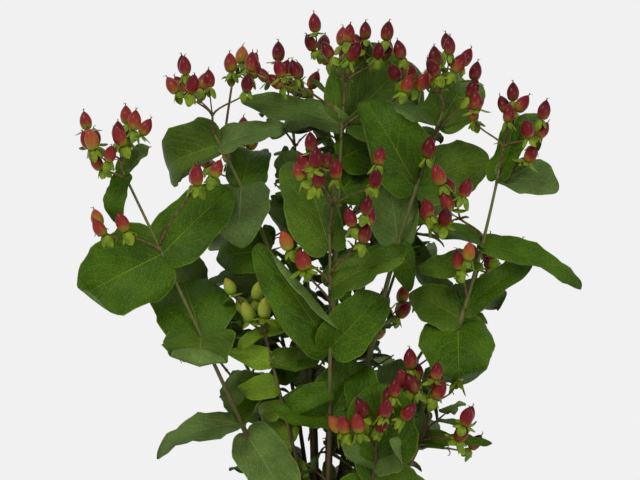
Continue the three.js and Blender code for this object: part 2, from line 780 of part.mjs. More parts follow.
// A limb of changing radius through a row of stations, with flat ends.
function limb(stations, sides) {
  return skin(ringsOf(stations.map((station) => ({ ...station, radii: Array(sides).fill(station.radius) }))));
}

// The stations of a bent twig. Its first one may be given its own run, so that it matches the stem's end.
function twigStations(line, radii, lift) {
  return line.map((point, i) => {
    const ahead = line[Math.min(i + 1, line.length - 1)];
    const behind = line[Math.max(i - 1, 0)];
    const run = i === 0 && lift ? lift : ahead.clone().sub(behind).normalize();
    return { point, run, radius: radii[i] };
  });
}

function leafSolid(leaf) {
  const ribs = leafRibs(leaf);
  const rings = ribs.map(({ centre, normal, left, right }) => {
    if (!left) return [centre];
    const top = centre.clone().addScaledVector(normal, LEAF_THICKNESS / 2);
    const bottom = centre.clone().addScaledVector(normal, -LEAF_THICKNESS / 2);
    return [left, top, right, bottom];
  });
  const neck = leaf.base.clone().addScaledVector(leaf.way, NECK_REACH);
  rings.splice(1, 0, [[-NECK_WIDTH, 0], [0, 0.45], [NECK_WIDTH, 0], [0, -0.45]].map(([wide, thick]) =>
    neck.clone().addScaledVector(leaf.across, wide / 2).addScaledVector(leaf.normal, thick)));
  return solid(skin(rings));
}

// A fruit with the twigs that lead to it: the twigs, five sepals bent back as a star, and the egg-shaped
// berry with its beak, as one surface.
function fruitSolid({ path, lift, foot, axis, size }) {
  const at = (height) => foot.clone().addScaledVector(axis, height);
  const radii = path.length > 1 ? [lift ? TWIG_RADIUS : TWIG_START, FORK_RADIUS] : [STALK_RADIUS / 2];
  const twigs = twigStations([...path, at(-0.8)], [...radii, STALK_RADIUS], lift);
  const isPoint = (k) => k % 2 === 0;
  const star = Array.from({ length: 10 }, (_, k) => (isPoint(k) ? SEPAL_LENGTH * size : SEPAL_ROOT));
  const waist = Array(5).fill(FRUIT_RADIUS * size * 1.08);
  return solid(skin(ringsOf([
    ...twigs.map((station) => ({ ...station, radii: Array(3).fill(station.radius) })),
    { point: at(0.6), run: axis, radii: star, lifts: star.map((_, k) => (isPoint(k) ? -SEPAL_DROOP : 0)) },
    { point: at(FRUIT_LENGTH * size * FRUIT_WAIST), run: axis, radii: waist },
    { point: at(FRUIT_LENGTH * size), run: axis, radii: [0] },
  ])));
}

function twigSolid(line, lift) {
  return solid(limb(twigStations(line, [TWIG_RADIUS, TWIG_RADIUS * 0.85], lift), 3));
}

// A cluster's fruits, and the twigs to any fork whose own end fruit found no room.
function clusterPieces({ base, lift, hub, fruits }) {
  const pieces = fruits.map(fruitSolid);
  const carried = new Set(fruits.filter(({ path }) => path.length > 1).map(({ path }) => path.at(-1)));
  if (!carried.has(hub)) pieces.push(twigSolid([base, hub], lift));
  for (const fork of new Set(fruits.map(({ path }) => path.at(-1)))) {
    if (fork !== hub && !carried.has(fork)) pieces.push(twigSolid([hub, fork]));
  }
  return pieces;
}

const leafGreen = new THREE.MeshStandardMaterial({ color: 0x3c5a22, roughness: 0.6, metalness: 0 });
const barkBrown = new THREE.MeshStandardMaterial({ color: 0x6a5236, roughness: 0.85, metalness: 0 });
const fruitRed = new THREE.MeshStandardMaterial({ color: 0x8c2224, roughness: 0.35, metalness: 0 });
const potClay = new THREE.MeshStandardMaterial({ color: 0xb0623f, roughness: 0.9, metalness: 0 });
const soilDark = new THREE.MeshStandardMaterial({ color: 0x2e231a, roughness: 1, metalness: 0 });

function named(name, geometry, material) {
  geometry.computeVertexNormals();
  const mesh = new THREE.Mesh(geometry, material);
  mesh.name = name;
  return mesh;
}

function turnedProfile(outline, segments) {
  const profile = outline.map(([radius, height]) => new THREE.Vector2(radius, height));
  return new THREE.LatheGeometry(profile, segments).rotateX(Math.PI / 2);
}

function pot() {
  const shoulder = POT_HEIGHT - RIM_HEIGHT;
  const wallTop = POT_TOP_RADIUS - RIM_STEP;
  const slope = (wallTop - POT_FOOT_RADIUS) / POT_HEIGHT;
  const outline = [
    [0, 0],
    [POT_FOOT_RADIUS - 1.5, 0],
    [POT_FOOT_RADIUS, 1.5],
    [POT_FOOT_RADIUS + slope * shoulder, shoulder],
    [POT_TOP_RADIUS - 1, shoulder + 1],
    [POT_TOP_RADIUS, shoulder + 4],
    [POT_TOP_RADIUS, POT_HEIGHT - 3],
    [POT_TOP_RADIUS - 2.5, POT_HEIGHT],
    [wallTop - POT_WALL + 2, POT_HEIGHT],
    [wallTop - POT_WALL, POT_HEIGHT - 3],
    [POT_FOOT_RADIUS + slope * POT_FLOOR - POT_WALL, POT_FLOOR],
    [0, POT_FLOOR],
  ];
  let body = solid(turnedProfile(outline, 28));
  for (let i = 0; i < 4; i++) {
    const turn = (Math.PI * (2 * i + 1)) / 4;
    const drill = new THREE.CylinderGeometry(DRAIN_RADIUS, DRAIN_RADIUS, POT_FLOOR * 3, 8);
    drill.rotateX(Math.PI / 2);
    drill.translate(DRAIN_CIRCLE * Math.cos(turn), DRAIN_CIRCLE * Math.sin(turn), POT_FLOOR / 2);
    body = body.subtract(solid(drill));
  }
  return named("pot", geometryOf(body), potClay);
}

function soil() {
  const wallTop = POT_TOP_RADIUS - RIM_STEP - POT_WALL;
  const slope = (POT_TOP_RADIUS - RIM_STEP - POT_FOOT_RADIUS) / POT_HEIGHT;
  const bottom = POT_FLOOR + CLEARANCE;
  const gap = CLEARANCE * 1.4;
  const outline = [
    [0, bottom],
    [POT_FOOT_RADIUS + slope * bottom - POT_WALL - gap, bottom],
    [wallTop - slope * (SOIL_DEPTH_BELOW_RIM + 3) - gap, SOIL_LEVEL - 3],
    [wallTop * 0.8, SOIL_LEVEL],
    [0, SOIL_LEVEL],
  ];
  return named("soil", turnedProfile(outline, 28), soilDark);
}

// The woody crown: cut flat at soil level, flared at its foot and rounded over where the stems leave it. The
// same shape a little larger cuts the stems clear of it.
function crownGeometry(grow) {
  const outline = [[0, 0], [CROWN_RADIUS + CROWN_FLARE + grow, 0], [CROWN_RADIUS + 0.5 + grow, 2 + grow]];
  for (const angle of [22.5, 45, 67.5]) {
    const distance = CROWN_RADIUS * Math.cos(radians(angle));
    outline.push([distance + grow, crownTop(distance) + grow]);
  }
  outline.push([0, CROWN_HEIGHT + grow]);
  return turnedProfile(outline, CROWN_SEGMENTS);
}

function plant() {
  const group = new THREE.Group();
  group.add(named("root_crown", crownGeometry(0), barkBrown));
  const crownShadow = solid(crownGeometry(CLEARANCE));
  for (const stem of growPlant()) {
    const bough = solid(limb(stem.bough, BOUGH_SIDES)).subtract(crownShadow);
    group.add(named("bough_" + stem.name, geometryOf(bough), barkBrown));

    const shoot = solid(limb(stem.shoot, SHOOT_SIDES));
    const leafy = [shoot, ...stem.leaves.map(leafSolid), ...stem.sprays.flatMap(clusterPieces)];
    group.add(named("leaves_" + stem.name, fuse(leafy), leafGreen));

    group.add(named("fruit_" + stem.name, fuse(clusterPieces(stem.endSpray)), fruitRed));
  }
  group.position.z = SOIL_LEVEL + CLEARANCE;
  return group;
}

const whole = new THREE.Group();
whole.add(pot(), soil(), plant());

export default whole;
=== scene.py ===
from functools import partialmethod
from itertools import combinations
from math import atan2, ceil, copysign, cos, degrees, exp, hypot, pi, radians, sin, sqrt
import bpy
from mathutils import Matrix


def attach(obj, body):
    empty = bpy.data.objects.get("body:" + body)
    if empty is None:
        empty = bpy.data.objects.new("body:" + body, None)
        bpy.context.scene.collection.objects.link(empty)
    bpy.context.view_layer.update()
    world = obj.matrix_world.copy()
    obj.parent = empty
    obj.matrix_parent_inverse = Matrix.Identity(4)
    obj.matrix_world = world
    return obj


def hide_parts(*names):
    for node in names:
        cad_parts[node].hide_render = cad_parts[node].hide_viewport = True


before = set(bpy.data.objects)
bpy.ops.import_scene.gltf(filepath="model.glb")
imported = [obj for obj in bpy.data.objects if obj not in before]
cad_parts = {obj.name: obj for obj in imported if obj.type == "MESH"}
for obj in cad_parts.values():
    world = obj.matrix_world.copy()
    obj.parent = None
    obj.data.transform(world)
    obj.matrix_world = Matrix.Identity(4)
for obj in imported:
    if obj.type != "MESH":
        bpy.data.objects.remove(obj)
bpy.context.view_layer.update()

from types import SimpleNamespace

import bpy
import numpy as np
from mathutils import Vector, noise


# The pot is plain fired clay, turned on a wheel and left unglazed: a tapered wall with a heavy rolled rim and
# four drain holes in its floor. Fine rings run round the wall, and lime has bloomed where water dried on it.
POT_HEIGHT, POT_TOP_RADIUS, POT_FOOT_RADIUS = 0.140, 0.080, 0.056
POT_WALL, POT_FLOOR = 0.005, 0.009
RIM_HEIGHT, RIM_STEP = 0.026, 0.004
DRAIN_RADIUS, DRAIN_CIRCLE = 0.0045, 0.032


def paint(code):
    """A colour as a painter writes it, such as b0623f, in the linear values that shaders take."""
    channels = [int(code[i : i + 2], 16) / 255 for i in (0, 2, 4)]
    return (*[c / 12.92 if c <= 0.04045 else ((c + 0.055) / 1.055) ** 2.4 for c in channels], 1.0)


def feed(socket, value):
    """Joins a pattern to a shader's socket, or sets the socket to a number or a colour."""
    if isinstance(value, Pattern):
        socket.id_data.links.new(value.socket, socket)
    else:
        socket.default_value = paint(value) if isinstance(value, str) else value


def draw(tree, kind, inputs=(), output=0, **settings):
    """Adds a shader node and gives one of its outputs as a pattern."""
    made = tree.nodes.new("ShaderNode" + kind)
    for name, value in settings.items():
        setattr(made, name, value)
    for name, value in dict(inputs).items():
        feed(made.inputs[name], value)
    return Pattern(made.outputs[output])


class Pattern:
    """What a shader node draws. Patterns are added, multiplied, stepped and used to mix colours."""

    def __init__(self, socket):
        self.socket = socket

    def draw(self, kind, inputs, output=0, **settings):
        return draw(self.socket.id_data, kind, inputs, output, **settings)

    def reckon(self, operation, other=0.0):
        return self.draw("Math", {0: self, 1: other}, operation=operation)

    __add__ = partialmethod(reckon, "ADD")
    __sub__ = partialmethod(reckon, "SUBTRACT")
    __mul__ = partialmethod(reckon, "MULTIPLY")

    def step(self, low, high):
        """A smooth step from 0 where the pattern is at low to 1 where it is at high."""
        inputs = {"Value": self, "From Min": low, "From Max": high}
        return self.draw("MapRange", inputs, "Result", interpolation_type="SMOOTHSTEP")

    def mix(self, first, second):
        """The first colour where the pattern is 0, and the second where it is 1."""
        return self.draw("Mix", {0: self, 6: first, 7: second}, 2, data_type="RGBA")

    def part(self, axis):
        return self.draw("SeparateXYZ", {0: self}, axis)

    def mottle(self, scale, detail=3.0):
        """Cloudy variation from 0 to 1 laid out by a place, with scale in clouds a metre."""
        return self.draw("TexNoise", {"Vector": self, "Scale": scale, "Detail": detail}, "Fac")

    def stretched(self, share):
        return self.draw("Mapping", {"Vector": self, "Scale": (1, 1, share)}, "Vector")


def finish(name, roughness, specular=0.15):
    """A new material, and the place on the plant that its patterns are laid out by."""
    material = bpy.data.materials.new(name)
    material.use_nodes = True
    shader = material.node_tree.nodes["Principled BSDF"]
    feed(shader.inputs["Roughness"], roughness)
    feed(shader.inputs["Specular IOR Level"], specular)
    return material, draw(material.node_tree, "TexCoord", output="Object")


def surface(material, colour, height, depth):
    """Gives a material its colour and a relief, depth being the relief's full height in metres."""
    shader = material.node_tree.nodes["Principled BSDF"]
    feed(shader.inputs["Base Color"], colour)
    feed(shader.inputs["Normal"], height.draw("Bump", {"Height": height, "Distance": depth}, "Normal"))
    return material


def set_out(made):
    bpy.context.scene.collection.objects.link(made)
    return made


class Heap:
    """Shapes gathered into one smooth mesh. A face has a finish, and a point its spot on the shape."""

    def __init__(self, *shape):
        self.points, self.faces, self.finishes, self.spots = [], [], [], []
        if shape:
            self.add(*shape)

    def add(self, points, faces, finish_index=0, spots=None):
        start = len(self.points)
        self.points += [tuple(map(float, point)) for point in points]
        self.faces += [tuple(start + index for index in face) for face in faces]
        self.finishes += [finish_index] * len(faces)
        self.spots += [(0.0, 0.0)] * len(points) if spots is None else [tuple(spot) for spot in spots]

    def thing(self, name, *materials):
        mesh = bpy.data.meshes.new(name)
        mesh.from_pydata(self.points, [], self.faces)
        for material in materials:
            mesh.materials.append(material)
        mesh.polygons.foreach_set("material_index", self.finishes)
        mesh.polygons.foreach_set("use_smooth", [True] * len(self.faces))
        corners = np.empty(len(mesh.loops), dtype=np.int32)
        mesh.loops.foreach_get("vertex_index", corners)
        spots = np.array(self.spots, dtype=np.float32)[corners]
        mesh.uv_layers.new(name="spot").data.foreach_set("uv", spots.ravel())
        mesh.update()
        return set_out(bpy.data.objects.new(name, mesh))

    def piece(self, name, slot, nodes, *materials):
        """The heap as a piece of the plant, in the place of nodes of the solid model."""
        made = self.thing(name, *materials)
        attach(made, "root")
        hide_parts(*nodes)
        return made


def turns(count):
    return [2 * pi * k / count for k in range(count)]


def lofted(rings, foot=None, top=None):
    """A closed form through rings of points from the foot up, each end flat or a fan round a middle."""
    sides = len(rings[0])
    after = [*range(1, sides), 0]
    points = [point for ring in rings for point in ring]
    last = len(points) - sides
    faces = [(low + k, low + after[k], low + sides + after[k], low + sides + k)
             for low in range(0, last, sides) for k in range(sides)]
    for middle, start, hand in ((foot, 0, -1), (top, last, 1)):
        if middle is None:
            faces.append(tuple(range(start, start + sides))[::hand])
        else:
            faces += [(start + k, start + after[k], len(points))[::hand] for k in range(sides)]
            points.append(middle)
    return points, faces


def turned(profile, sides, tremor=lambda turn, height: 0.0):
    """A turned form from a profile of radius and height that starts and ends on its axis."""
    rings = []
    for radius, height in profile[1:-1]:
        reaches = [(turn, radius + tremor(turn, height)) for turn in turns(sides)]
        rings.append([(reach * cos(turn), reach * sin(turn), height) for turn, reach in reaches])
    return lofted(rings, (0, 0, profile[0][1]), (0, 0, profile[-1][1]))


def clay_finish():
    clay, place = finish("fired_clay", 0.88, 0.25)
    grit = place.mottle(900, 2)
    body = place.mottle(28, 5).step(0.35, 0.65).mix("a5583a", "bd7450")
    speckled = grit.step(0.62, 0.7).mix(body, "8d4a31")
    bloom = place.part("Z").step(0.05, 0.004) * place.mottle(60, 6).step(0.45, 0.7)
    wave = {"Vector": place, "Scale": 70, "Distortion": 1.5}
    rings = place.draw("TexWave", wave, "Fac", bands_direction="Z")
    return surface(clay, (bloom * 0.55).mix(speckled, "d9c3b0"), rings * 0.5 + grit, 0.0003)


def pot_profile():
    shoulder, wall_top = POT_HEIGHT - RIM_HEIGHT, POT_TOP_RADIUS - RIM_STEP
    slope, inside = (wall_top - POT_FOOT_RADIUS) / POT_HEIGHT, wall_top - POT_WALL
    foot = [(0, 0), (POT_FOOT_RADIUS - 0.004, 0), (POT_FOOT_RADIUS - 0.0015, 0.0002),
            (POT_FOOT_RADIUS, 0.0015)]
    wall = [(POT_FOOT_RADIUS + slope * shoulder * i / 12, shoulder * i / 12) for i in range(1, 13)]
    rim = [(wall_top + 0.0022, shoulder + 0.0003), (POT_TOP_RADIUS - 0.0004, shoulder + 0.0018),
           (POT_TOP_RADIUS, shoulder + 0.004), (POT_TOP_RADIUS, POT_HEIGHT - 0.004),
           (POT_TOP_RADIUS - 0.0009, POT_HEIGHT - 0.0012), (POT_TOP_RADIUS - 0.003, POT_HEIGHT),
           (inside + 0.0022, POT_HEIGHT), (inside + 0.0004, POT_HEIGHT - 0.0012)]
    hollow = [(inside - slope * (POT_HEIGHT - height), height) for height in (POT_HEIGHT - 0.003, POT_FLOOR)]
    return foot + wall + rim + hollow + [(0, POT_FLOOR)]


def wheel_tremor(turn, height):
    return 0.0002 * sin(turn * 2 + 40 * height) + 0.00012 * sin(turn * 5 - 90 * height) - 0.00032


pot = Heap(*turned(pot_profile(), 96, wheel_tremor)).piece("pot_body", "pot", ["pot"], clay_finish())
drill_shape = Heap()
for corner in range(4):
    drill_turn = pi * (2 * corner + 1) / 4
    x, y = DRAIN_CIRCLE * cos(drill_turn), DRAIN_CIRCLE * sin(drill_turn)
    points, faces = turned([(0, -0.01), (DRAIN_RADIUS, -0.01), (DRAIN_RADIUS, 0.02), (0, 0.02)], 20)
    drill_shape.add(np.array(points) + (x, y, 0), faces)
drill = drill_shape.thing("drill")
drilling = pot.modifiers.new("drain_holes", "BOOLEAN")
drilling.object = drill
drilling.solver = "EXACT"
drilled = bpy.data.meshes.new_from_object(pot.evaluated_get(bpy.context.evaluated_depsgraph_get()))
pot.modifiers.clear()
pot.data = drilled
bpy.data.objects.remove(drill)


# The soil is moist dark compost, filled to 16 mm below the rim and sunk a little along the pot's wall. Its
# top is crumbly, with longer scraps and pale grains of grit in it.
SOIL_LEVEL, SOIL_RADIUS = 0.124, 0.0686
SOIL_FOOT, SOIL_FOOT_RADIUS = 0.0093, 0.0518
SOIL_RINGS, SOIL_SEGMENTS = 34, 110
CRUMBS, CRUMB_REACH, COMPOST_SHARE, LONG_CRUMB = 900, 0.066, 0.93, 2.6


def bumps(x, y, scale, layer):
    """Smooth unevenness from -1 to 1, with about as many bumps to a unit as the scale says."""
    return noise.noise(Vector((x * scale, y * scale, layer)))


def soil_height(x, y):
    edge = max(0.0, (hypot(x, y) / SOIL_RADIUS - 0.8) / 0.2)
    height = SOIL_LEVEL - 0.0006 + 0.0008 * bumps(x, y, 40, 3.1)
    return height + 0.0006 * bumps(x, y, 260, 7.7) - 0.0025 * edge**2


def circle(radius, count):
    return [(radius * cos(turn), radius * sin(turn)) for turn in turns(count)]


def soil_finish(name, dark, light):
    soil, place = finish(name, 0.97, 0.15)
    return surface(soil, place.mottle(420, 6).step(0.35, 0.7).mix(dark, light), place.mottle(1300, 4), 0.0006)


def soil_body():
    rings = [[(x, y, SOIL_FOOT) for x, y in circle(SOIL_FOOT_RADIUS, SOIL_SEGMENTS)]]
    for ring in range(SOIL_RINGS, 0, -1):
        reach = SOIL_RADIUS * ring / SOIL_RINGS
        rings.append([(x, y, soil_height(x, y)) for x, y in circle(reach, SOIL_SEGMENTS)])
    return lofted(rings, (0, 0, SOIL_FOOT), (0, 0, soil_height(0, 0)))


def crumb(chance):
    """A rough grain with eight faces, lying on the soil."""
    reach, turn = CRUMB_REACH * sqrt(chance.random()), chance.random() * 2 * pi
    x, y = reach * cos(turn), reach * sin(turn)
    size = 0.0005 + 0.0011 * chance.random() ** 2
    stretch = LONG_CRUMB if chance.random() > 0.8 else 1.0
    axes = np.linalg.qr(chance.normal(size=(3, 3)))[0] * np.array([[size * stretch], [size], [size * 0.8]])
    centre = np.array([x, y, soil_height(x, y) + size * 0.3])
    points = [centre + hand * axis * (0.8 + 0.4 * chance.random()) for axis in axes for hand in (1, -1)]
    return points, [(0, 2, 4), (2, 1, 4), (1, 3, 4), (3, 0, 4), (2, 0, 5), (1, 2, 5), (3, 1, 5), (0, 3, 5)]


soil_shape = Heap(*soil_body())
soil_chance = np.random.default_rng(8)
for _ in range(CRUMBS):
    soil_shape.add(*crumb(soil_chance), int(soil_chance.random() > COMPOST_SHARE))
soil_shape.piece("soil_fill", "soil", ["soil"], soil_finish("compost", "1d140d", "3b2a1c"),
                 soil_finish("grit", "8d8474", "b6ad9a"))


# The stems rise from one low woody crown, cut flat at the soil and flared at its foot. Each tapers from a
# brown woody foot to an olive shoot, with a thickened joint at every pair of leaves and two faint ridges.
CROWN_RADIUS, CROWN_FLARE, CROWN_HEIGHT = 25, 4, 15
CROWN_RINGS, CROWN_SEGMENTS = 22, 72
FOOT_DEPTH, FOOT_SPACING, FOOT_REACH = 5, 8.6, 0.13
BOUGH_RADIUS, SHOOT_RADIUS, TIP_RADIUS = 2.3, 1.5, 0.8
BUDDING_BELOW = 9
STEM_SIDES, STEM_STEPS, STEM_RIDGE = 12, 61, 0.14
FOOT_SWELLING, JOINT_SWELLING, JOINT_REACH = 1.3, 0.45, 2.6
GROUND = np.array([0.0, 0.0, 124.3])
# Each stem in millimetres above the soil: a point halfway along, its tip, the heights of its pairs of leaves,
# and its end stalk: its angle as seen from the front, how far it points at the viewer, and its length.
FRONT_STEMS = {
    "left": ((-54, -14, 90), (-130, -26, 253), (90, 84, 146, 199, 250), (96, 8, 6)),
    "left_centre": ((-16, 8, 135), (-72, 2, 277), (200, 243, 270), (96, 5, 12)),
    "centre": ((3, -28, 100), (3, -44, 212), (95, 139, 177, 202, 208), (84, 16, 18)),
    "tall": ((5, 20, 150), (12, 22, 296), (238, 284, 291), (84, 5, 16)),
    "right_centre": ((33, 8, 150), (77, 4, 292), (206, 243, 282), (100, 5, 12)),
    "right": ((74, -14, 118), (112, -22, 254), (206, 152, 157, 163, 194, 247), (80, 10, 14)),
    "low_right": ((27, -38, 45), (32, -54, 84), (58, 68), (70, 44, 8)),
    "low_outer": ((42, -24, 45), (64, -32, 86), (80,), (78, 10, 16)),
    "green": ((-20, -12, 72), (-40, -20, 152), (52, 100, 130, 149), (140, 6, 5)),
}
BACK_TIPS = [(92, 40, 170), (66, 84, 232), (50, 62, 284), (16, 96, 296), (-22, 74, 286), (-58, 90, 240),
             (-88, 52, 178), (-66, 66, 120), (30, 84, 132)]
BACK_FIRST_PAIR, BACK_LAST_PAIR_BELOW_TIP, BACK_PAIR_SPACING, BACK_STALK = 50, 6, 40, 10
BACK_MIDDLE_OUT, BACK_MIDDLE_UP = 0.42, 0.52


def vector(x, y, z):
    return np.array([x, y, z], dtype=float)


def unit(direction):
    return direction / sqrt(direction @ direction)


def square_to(axis, direction):
    """The part of a direction that lies square to an axis, at unit length."""
    return unit(direction - (direction @ axis) * axis)


def squares(axis):
    """Two directions square to an axis and to each other."""
    side = square_to(axis, vector(0, 1, 0) if abs(axis[1]) < 0.9 else vector(1, 0, 0))
    return side, np.cross(axis, side)


def spoke(axis, turn):
    """A direction square to an axis, turned round it."""
    side, other = squares(axis)
    return side * cos(turn) + other * sin(turn)


def seen_direction(way, toward):
    """A direction as it looks from the front: its angle in that view, and how far it points at the viewer."""
    way, toward = radians(way), radians(toward)
    return vector(cos(way) * cos(toward), -sin(toward), sin(way) * cos(toward))


def planted(points):
    """Points in millimetres above the soil, as metres in the frame."""
    return (np.reshape(points, (-1, 3)) + GROUND) / 1000


def crown_top(distance):
    return CROWN_HEIGHT * sqrt(max(0.0, 1 - (distance / CROWN_RADIUS) ** 2))


class Stem:
    """A stem on its curve, with shares of its length from 0 at the foot to 1 at the tip."""

    def __init__(self, name, middle, tip, heights, stalk, axis=None):
        self.name, self.middle, self.tip = name, vector(*middle), vector(*tip)
        self.heights, self.stalk, self.axis = heights, stalk, axis
        self.leaves, self.sprays, self.shoots = [], [], []

    def stand(self, foot):
        foot[2] = crown_top(sqrt(foot @ foot)) - FOOT_DEPTH
        self.foot, self.control = foot, 2 * self.middle - 0.5 * foot - 0.5 * self.tip
        self.budding = self.share_at(min(self.heights) - BUDDING_BELOW)
        self.axis = self.heading(1) if self.axis is None else self.axis
        self.hub = self.tip + self.stalk * self.axis

    def along(self, share):
        return (1 - share) ** 2 * self.foot + 2 * (1 - share) * share * self.control + share**2 * self.tip

    def heading(self, share):
        return unit(self.along(min(share + 1e-4, 1)) - self.along(max(share - 1e-4, 0)))

    def share_at(self, height):
        low, high = 0.0, 1.0
        for _ in range(40):
            share = (low + high) / 2
            low, high = (share, high) if self.along(share)[2] < height else (low, share)
        return high

    def at(self, height):
        return self.along(self.share_at(height))

    def share_beyond(self, share, distance):
        step = copysign(0.001, distance)
        gap = self.along(share + step) - self.along(share)
        return share + distance * abs(step) / sqrt(gap @ gap)

    def radius(self, share):
        if share < self.budding:
            return BOUGH_RADIUS + (SHOOT_RADIUS - BOUGH_RADIUS) * share / self.budding
        return SHOOT_RADIUS + (TIP_RADIUS - SHOOT_RADIUS) * (share - self.budding) / (1 - self.budding)

    def kin(self, height):
        return f"{self.name} {height}"


def move_apart(places, spacing, rounds):
    """Moves crowded places apart, two at a time, in a number of rounds."""
    for i, j in [*combinations(range(len(places)), 2)] * rounds:
        apart = places[j] - places[i]
        short = spacing - sqrt(apart @ apart)
        if short > 0:
            push = unit(apart) * short / 2
            places[i], places[j] = places[i] - push, places[j] + push
    return places


def plan_stems():
    stems = [Stem(name, middle, tip, heights, stalk, seen_direction(way, toward))
             for name, (middle, tip, heights, (way, toward, stalk)) in FRONT_STEMS.items()]
    for number, (across, back, height) in enumerate(BACK_TIPS, 1):
        pairs = max(2, round((height - BACK_FIRST_PAIR) / BACK_PAIR_SPACING) + 1)
        reach = height - BACK_LAST_PAIR_BELOW_TIP - BACK_FIRST_PAIR
        heights = [BACK_FIRST_PAIR + reach * pair / (pairs - 1) for pair in range(pairs)]
        middle = (across * BACK_MIDDLE_OUT, back * BACK_MIDDLE_OUT, height * BACK_MIDDLE_UP)
        stems.append(Stem(f"back_{number}", middle, (across, back, height), heights, BACK_STALK))
    feet = [vector(stem.tip[0] * FOOT_REACH, stem.tip[1] * FOOT_REACH + 1, 0) for stem in stems]
    for stem, foot in zip(stems, move_apart(feet, FOOT_SPACING, 60)):
        stem.stand(foot)
    return stems


def limb(line, radii, sides, ridge=0.0):
    """A closed round limb through points in millimetres above the soil. A ridge swells its two sides."""
    line = np.asarray(line, dtype=float)
    runs = np.gradient(line, axis=0)
    around = np.array(turns(sides))[:, None]
    reach = 1 + ridge * np.cos(around) ** 8
    side = squares(unit(runs[0]))[0]
    rings = []
    for point, run, radius in zip(line, runs, radii):
        side = square_to(unit(run), side)
        other = np.cross(unit(run), side)
        rings.append(point + radius * reach * (np.cos(around) * side + np.sin(around) * other))
    points, faces = lofted(rings)
    return planted(points), faces


def crown_body():
    """The low woody dome that the stems leave, knobbly and ribbed, with its flared foot let into the soil."""
    rings = []
    for ring in range(CROWN_RINGS, 0, -1):
        distance = (CROWN_RADIUS + CROWN_FLARE) * ring / CROWN_RINGS
        flare = min(1.0, (CROWN_RADIUS + CROWN_FLARE - distance) / (CROWN_FLARE + 3))
        height = max(crown_top(distance), 2.4 * flare**1.5)
        rings.append([])
        for turn, (x, y) in zip(turns(CROWN_SEGMENTS), circle(distance, CROWN_SEGMENTS)):
            knobs = bumps(x, y, 0.16, 1) + 0.7 * bumps(x, y, 0.5, 5)
            shrink = 1 - 0.035 * (1 + sin(turn * 9 + 3 * bumps(x, y, 0.08, 9)))
            rings[-1].append(vector(x * shrink, y * shrink, height + 0.9 * knobs - 0.4))
    let_in = [point - vector(0, 0, 3) for point in rings[0]]
    points, faces = lofted([let_in, *rings], top=vector(0, 0, CROWN_HEIGHT))
    return planted(points), faces


def bark_finish(name, foot, shoot, low, high, depth):
    """Bark that turns from a woody colour to a green one between two heights in metres."""
    bark, place = finish(name, 0.66, 0.2)
    fibres = place.stretched(0.12).mottle(900, 4)
    rise = high - low
    clouded = place.part("Z") + place.mottle(70, 4) * (rise * 0.6)
    greening = clouded.step(low + 0.3 * rise, high + 0.3 * rise).mix(foot, shoot)
    return surface(bark, fibres.step(0.5, 0.8).mix(greening, "3f2d1c"), fibres, depth)


def stem_line(stem):
    """A stem's middle line and radii, thickened where a pair of leaves stands and at the foot."""
    shares = np.linspace(0, 1, STEM_STEPS)
    line = np.array([stem.along(share) for share in shares])
    joints = [stem.at(height) for height in stem.heights]
    radii = []
    for share, point in zip(shares, line):
        swelling = sum(exp(-((np.linalg.norm(point - joint) / JOINT_REACH) ** 2)) for joint in joints)
        swollen = stem.radius(share) + JOINT_SWELLING * min(1.0, swelling)
        radii.append(swollen + FOOT_SWELLING * exp(-share * 22))
    return line, radii


stems = plan_stems()
front_stems, back_stems = stems[: len(FRONT_STEMS)], stems[len(FRONT_STEMS) :]
stem_shape = Heap()
for stem in stems:
    stem_shape.add(*limb(*stem_line(stem), STEM_SIDES, STEM_RIDGE))
stem_shape.piece("stems", "bark", ["bough_" + stem.name for stem in stems],
                 bark_finish("bark", "473623", "52542a", 0.15, 0.3, 0.0004))
Heap(*crown_body()).piece("woody_crown", "bark", ["root_crown"],
                          bark_finish("crown_bark", "3c2d1f", "5a4833", 0.12, 0.145, 0.0016))


# The leaves in front stand in opposite pairs without stalks, their bases clasping the stem. They are broad,
# blunt and smooth-edged, dark green above and paler below, with a pale midrib and looping side veins.
# The finishes of leaves by their place in the list of skins. The third is a paler grey-green that paints the
# sheen of light on some leaves, and the last is for the undersides.
DEEP, GREEN, PAINTED_SHEEN, YOUNG, UNDER = range(5)
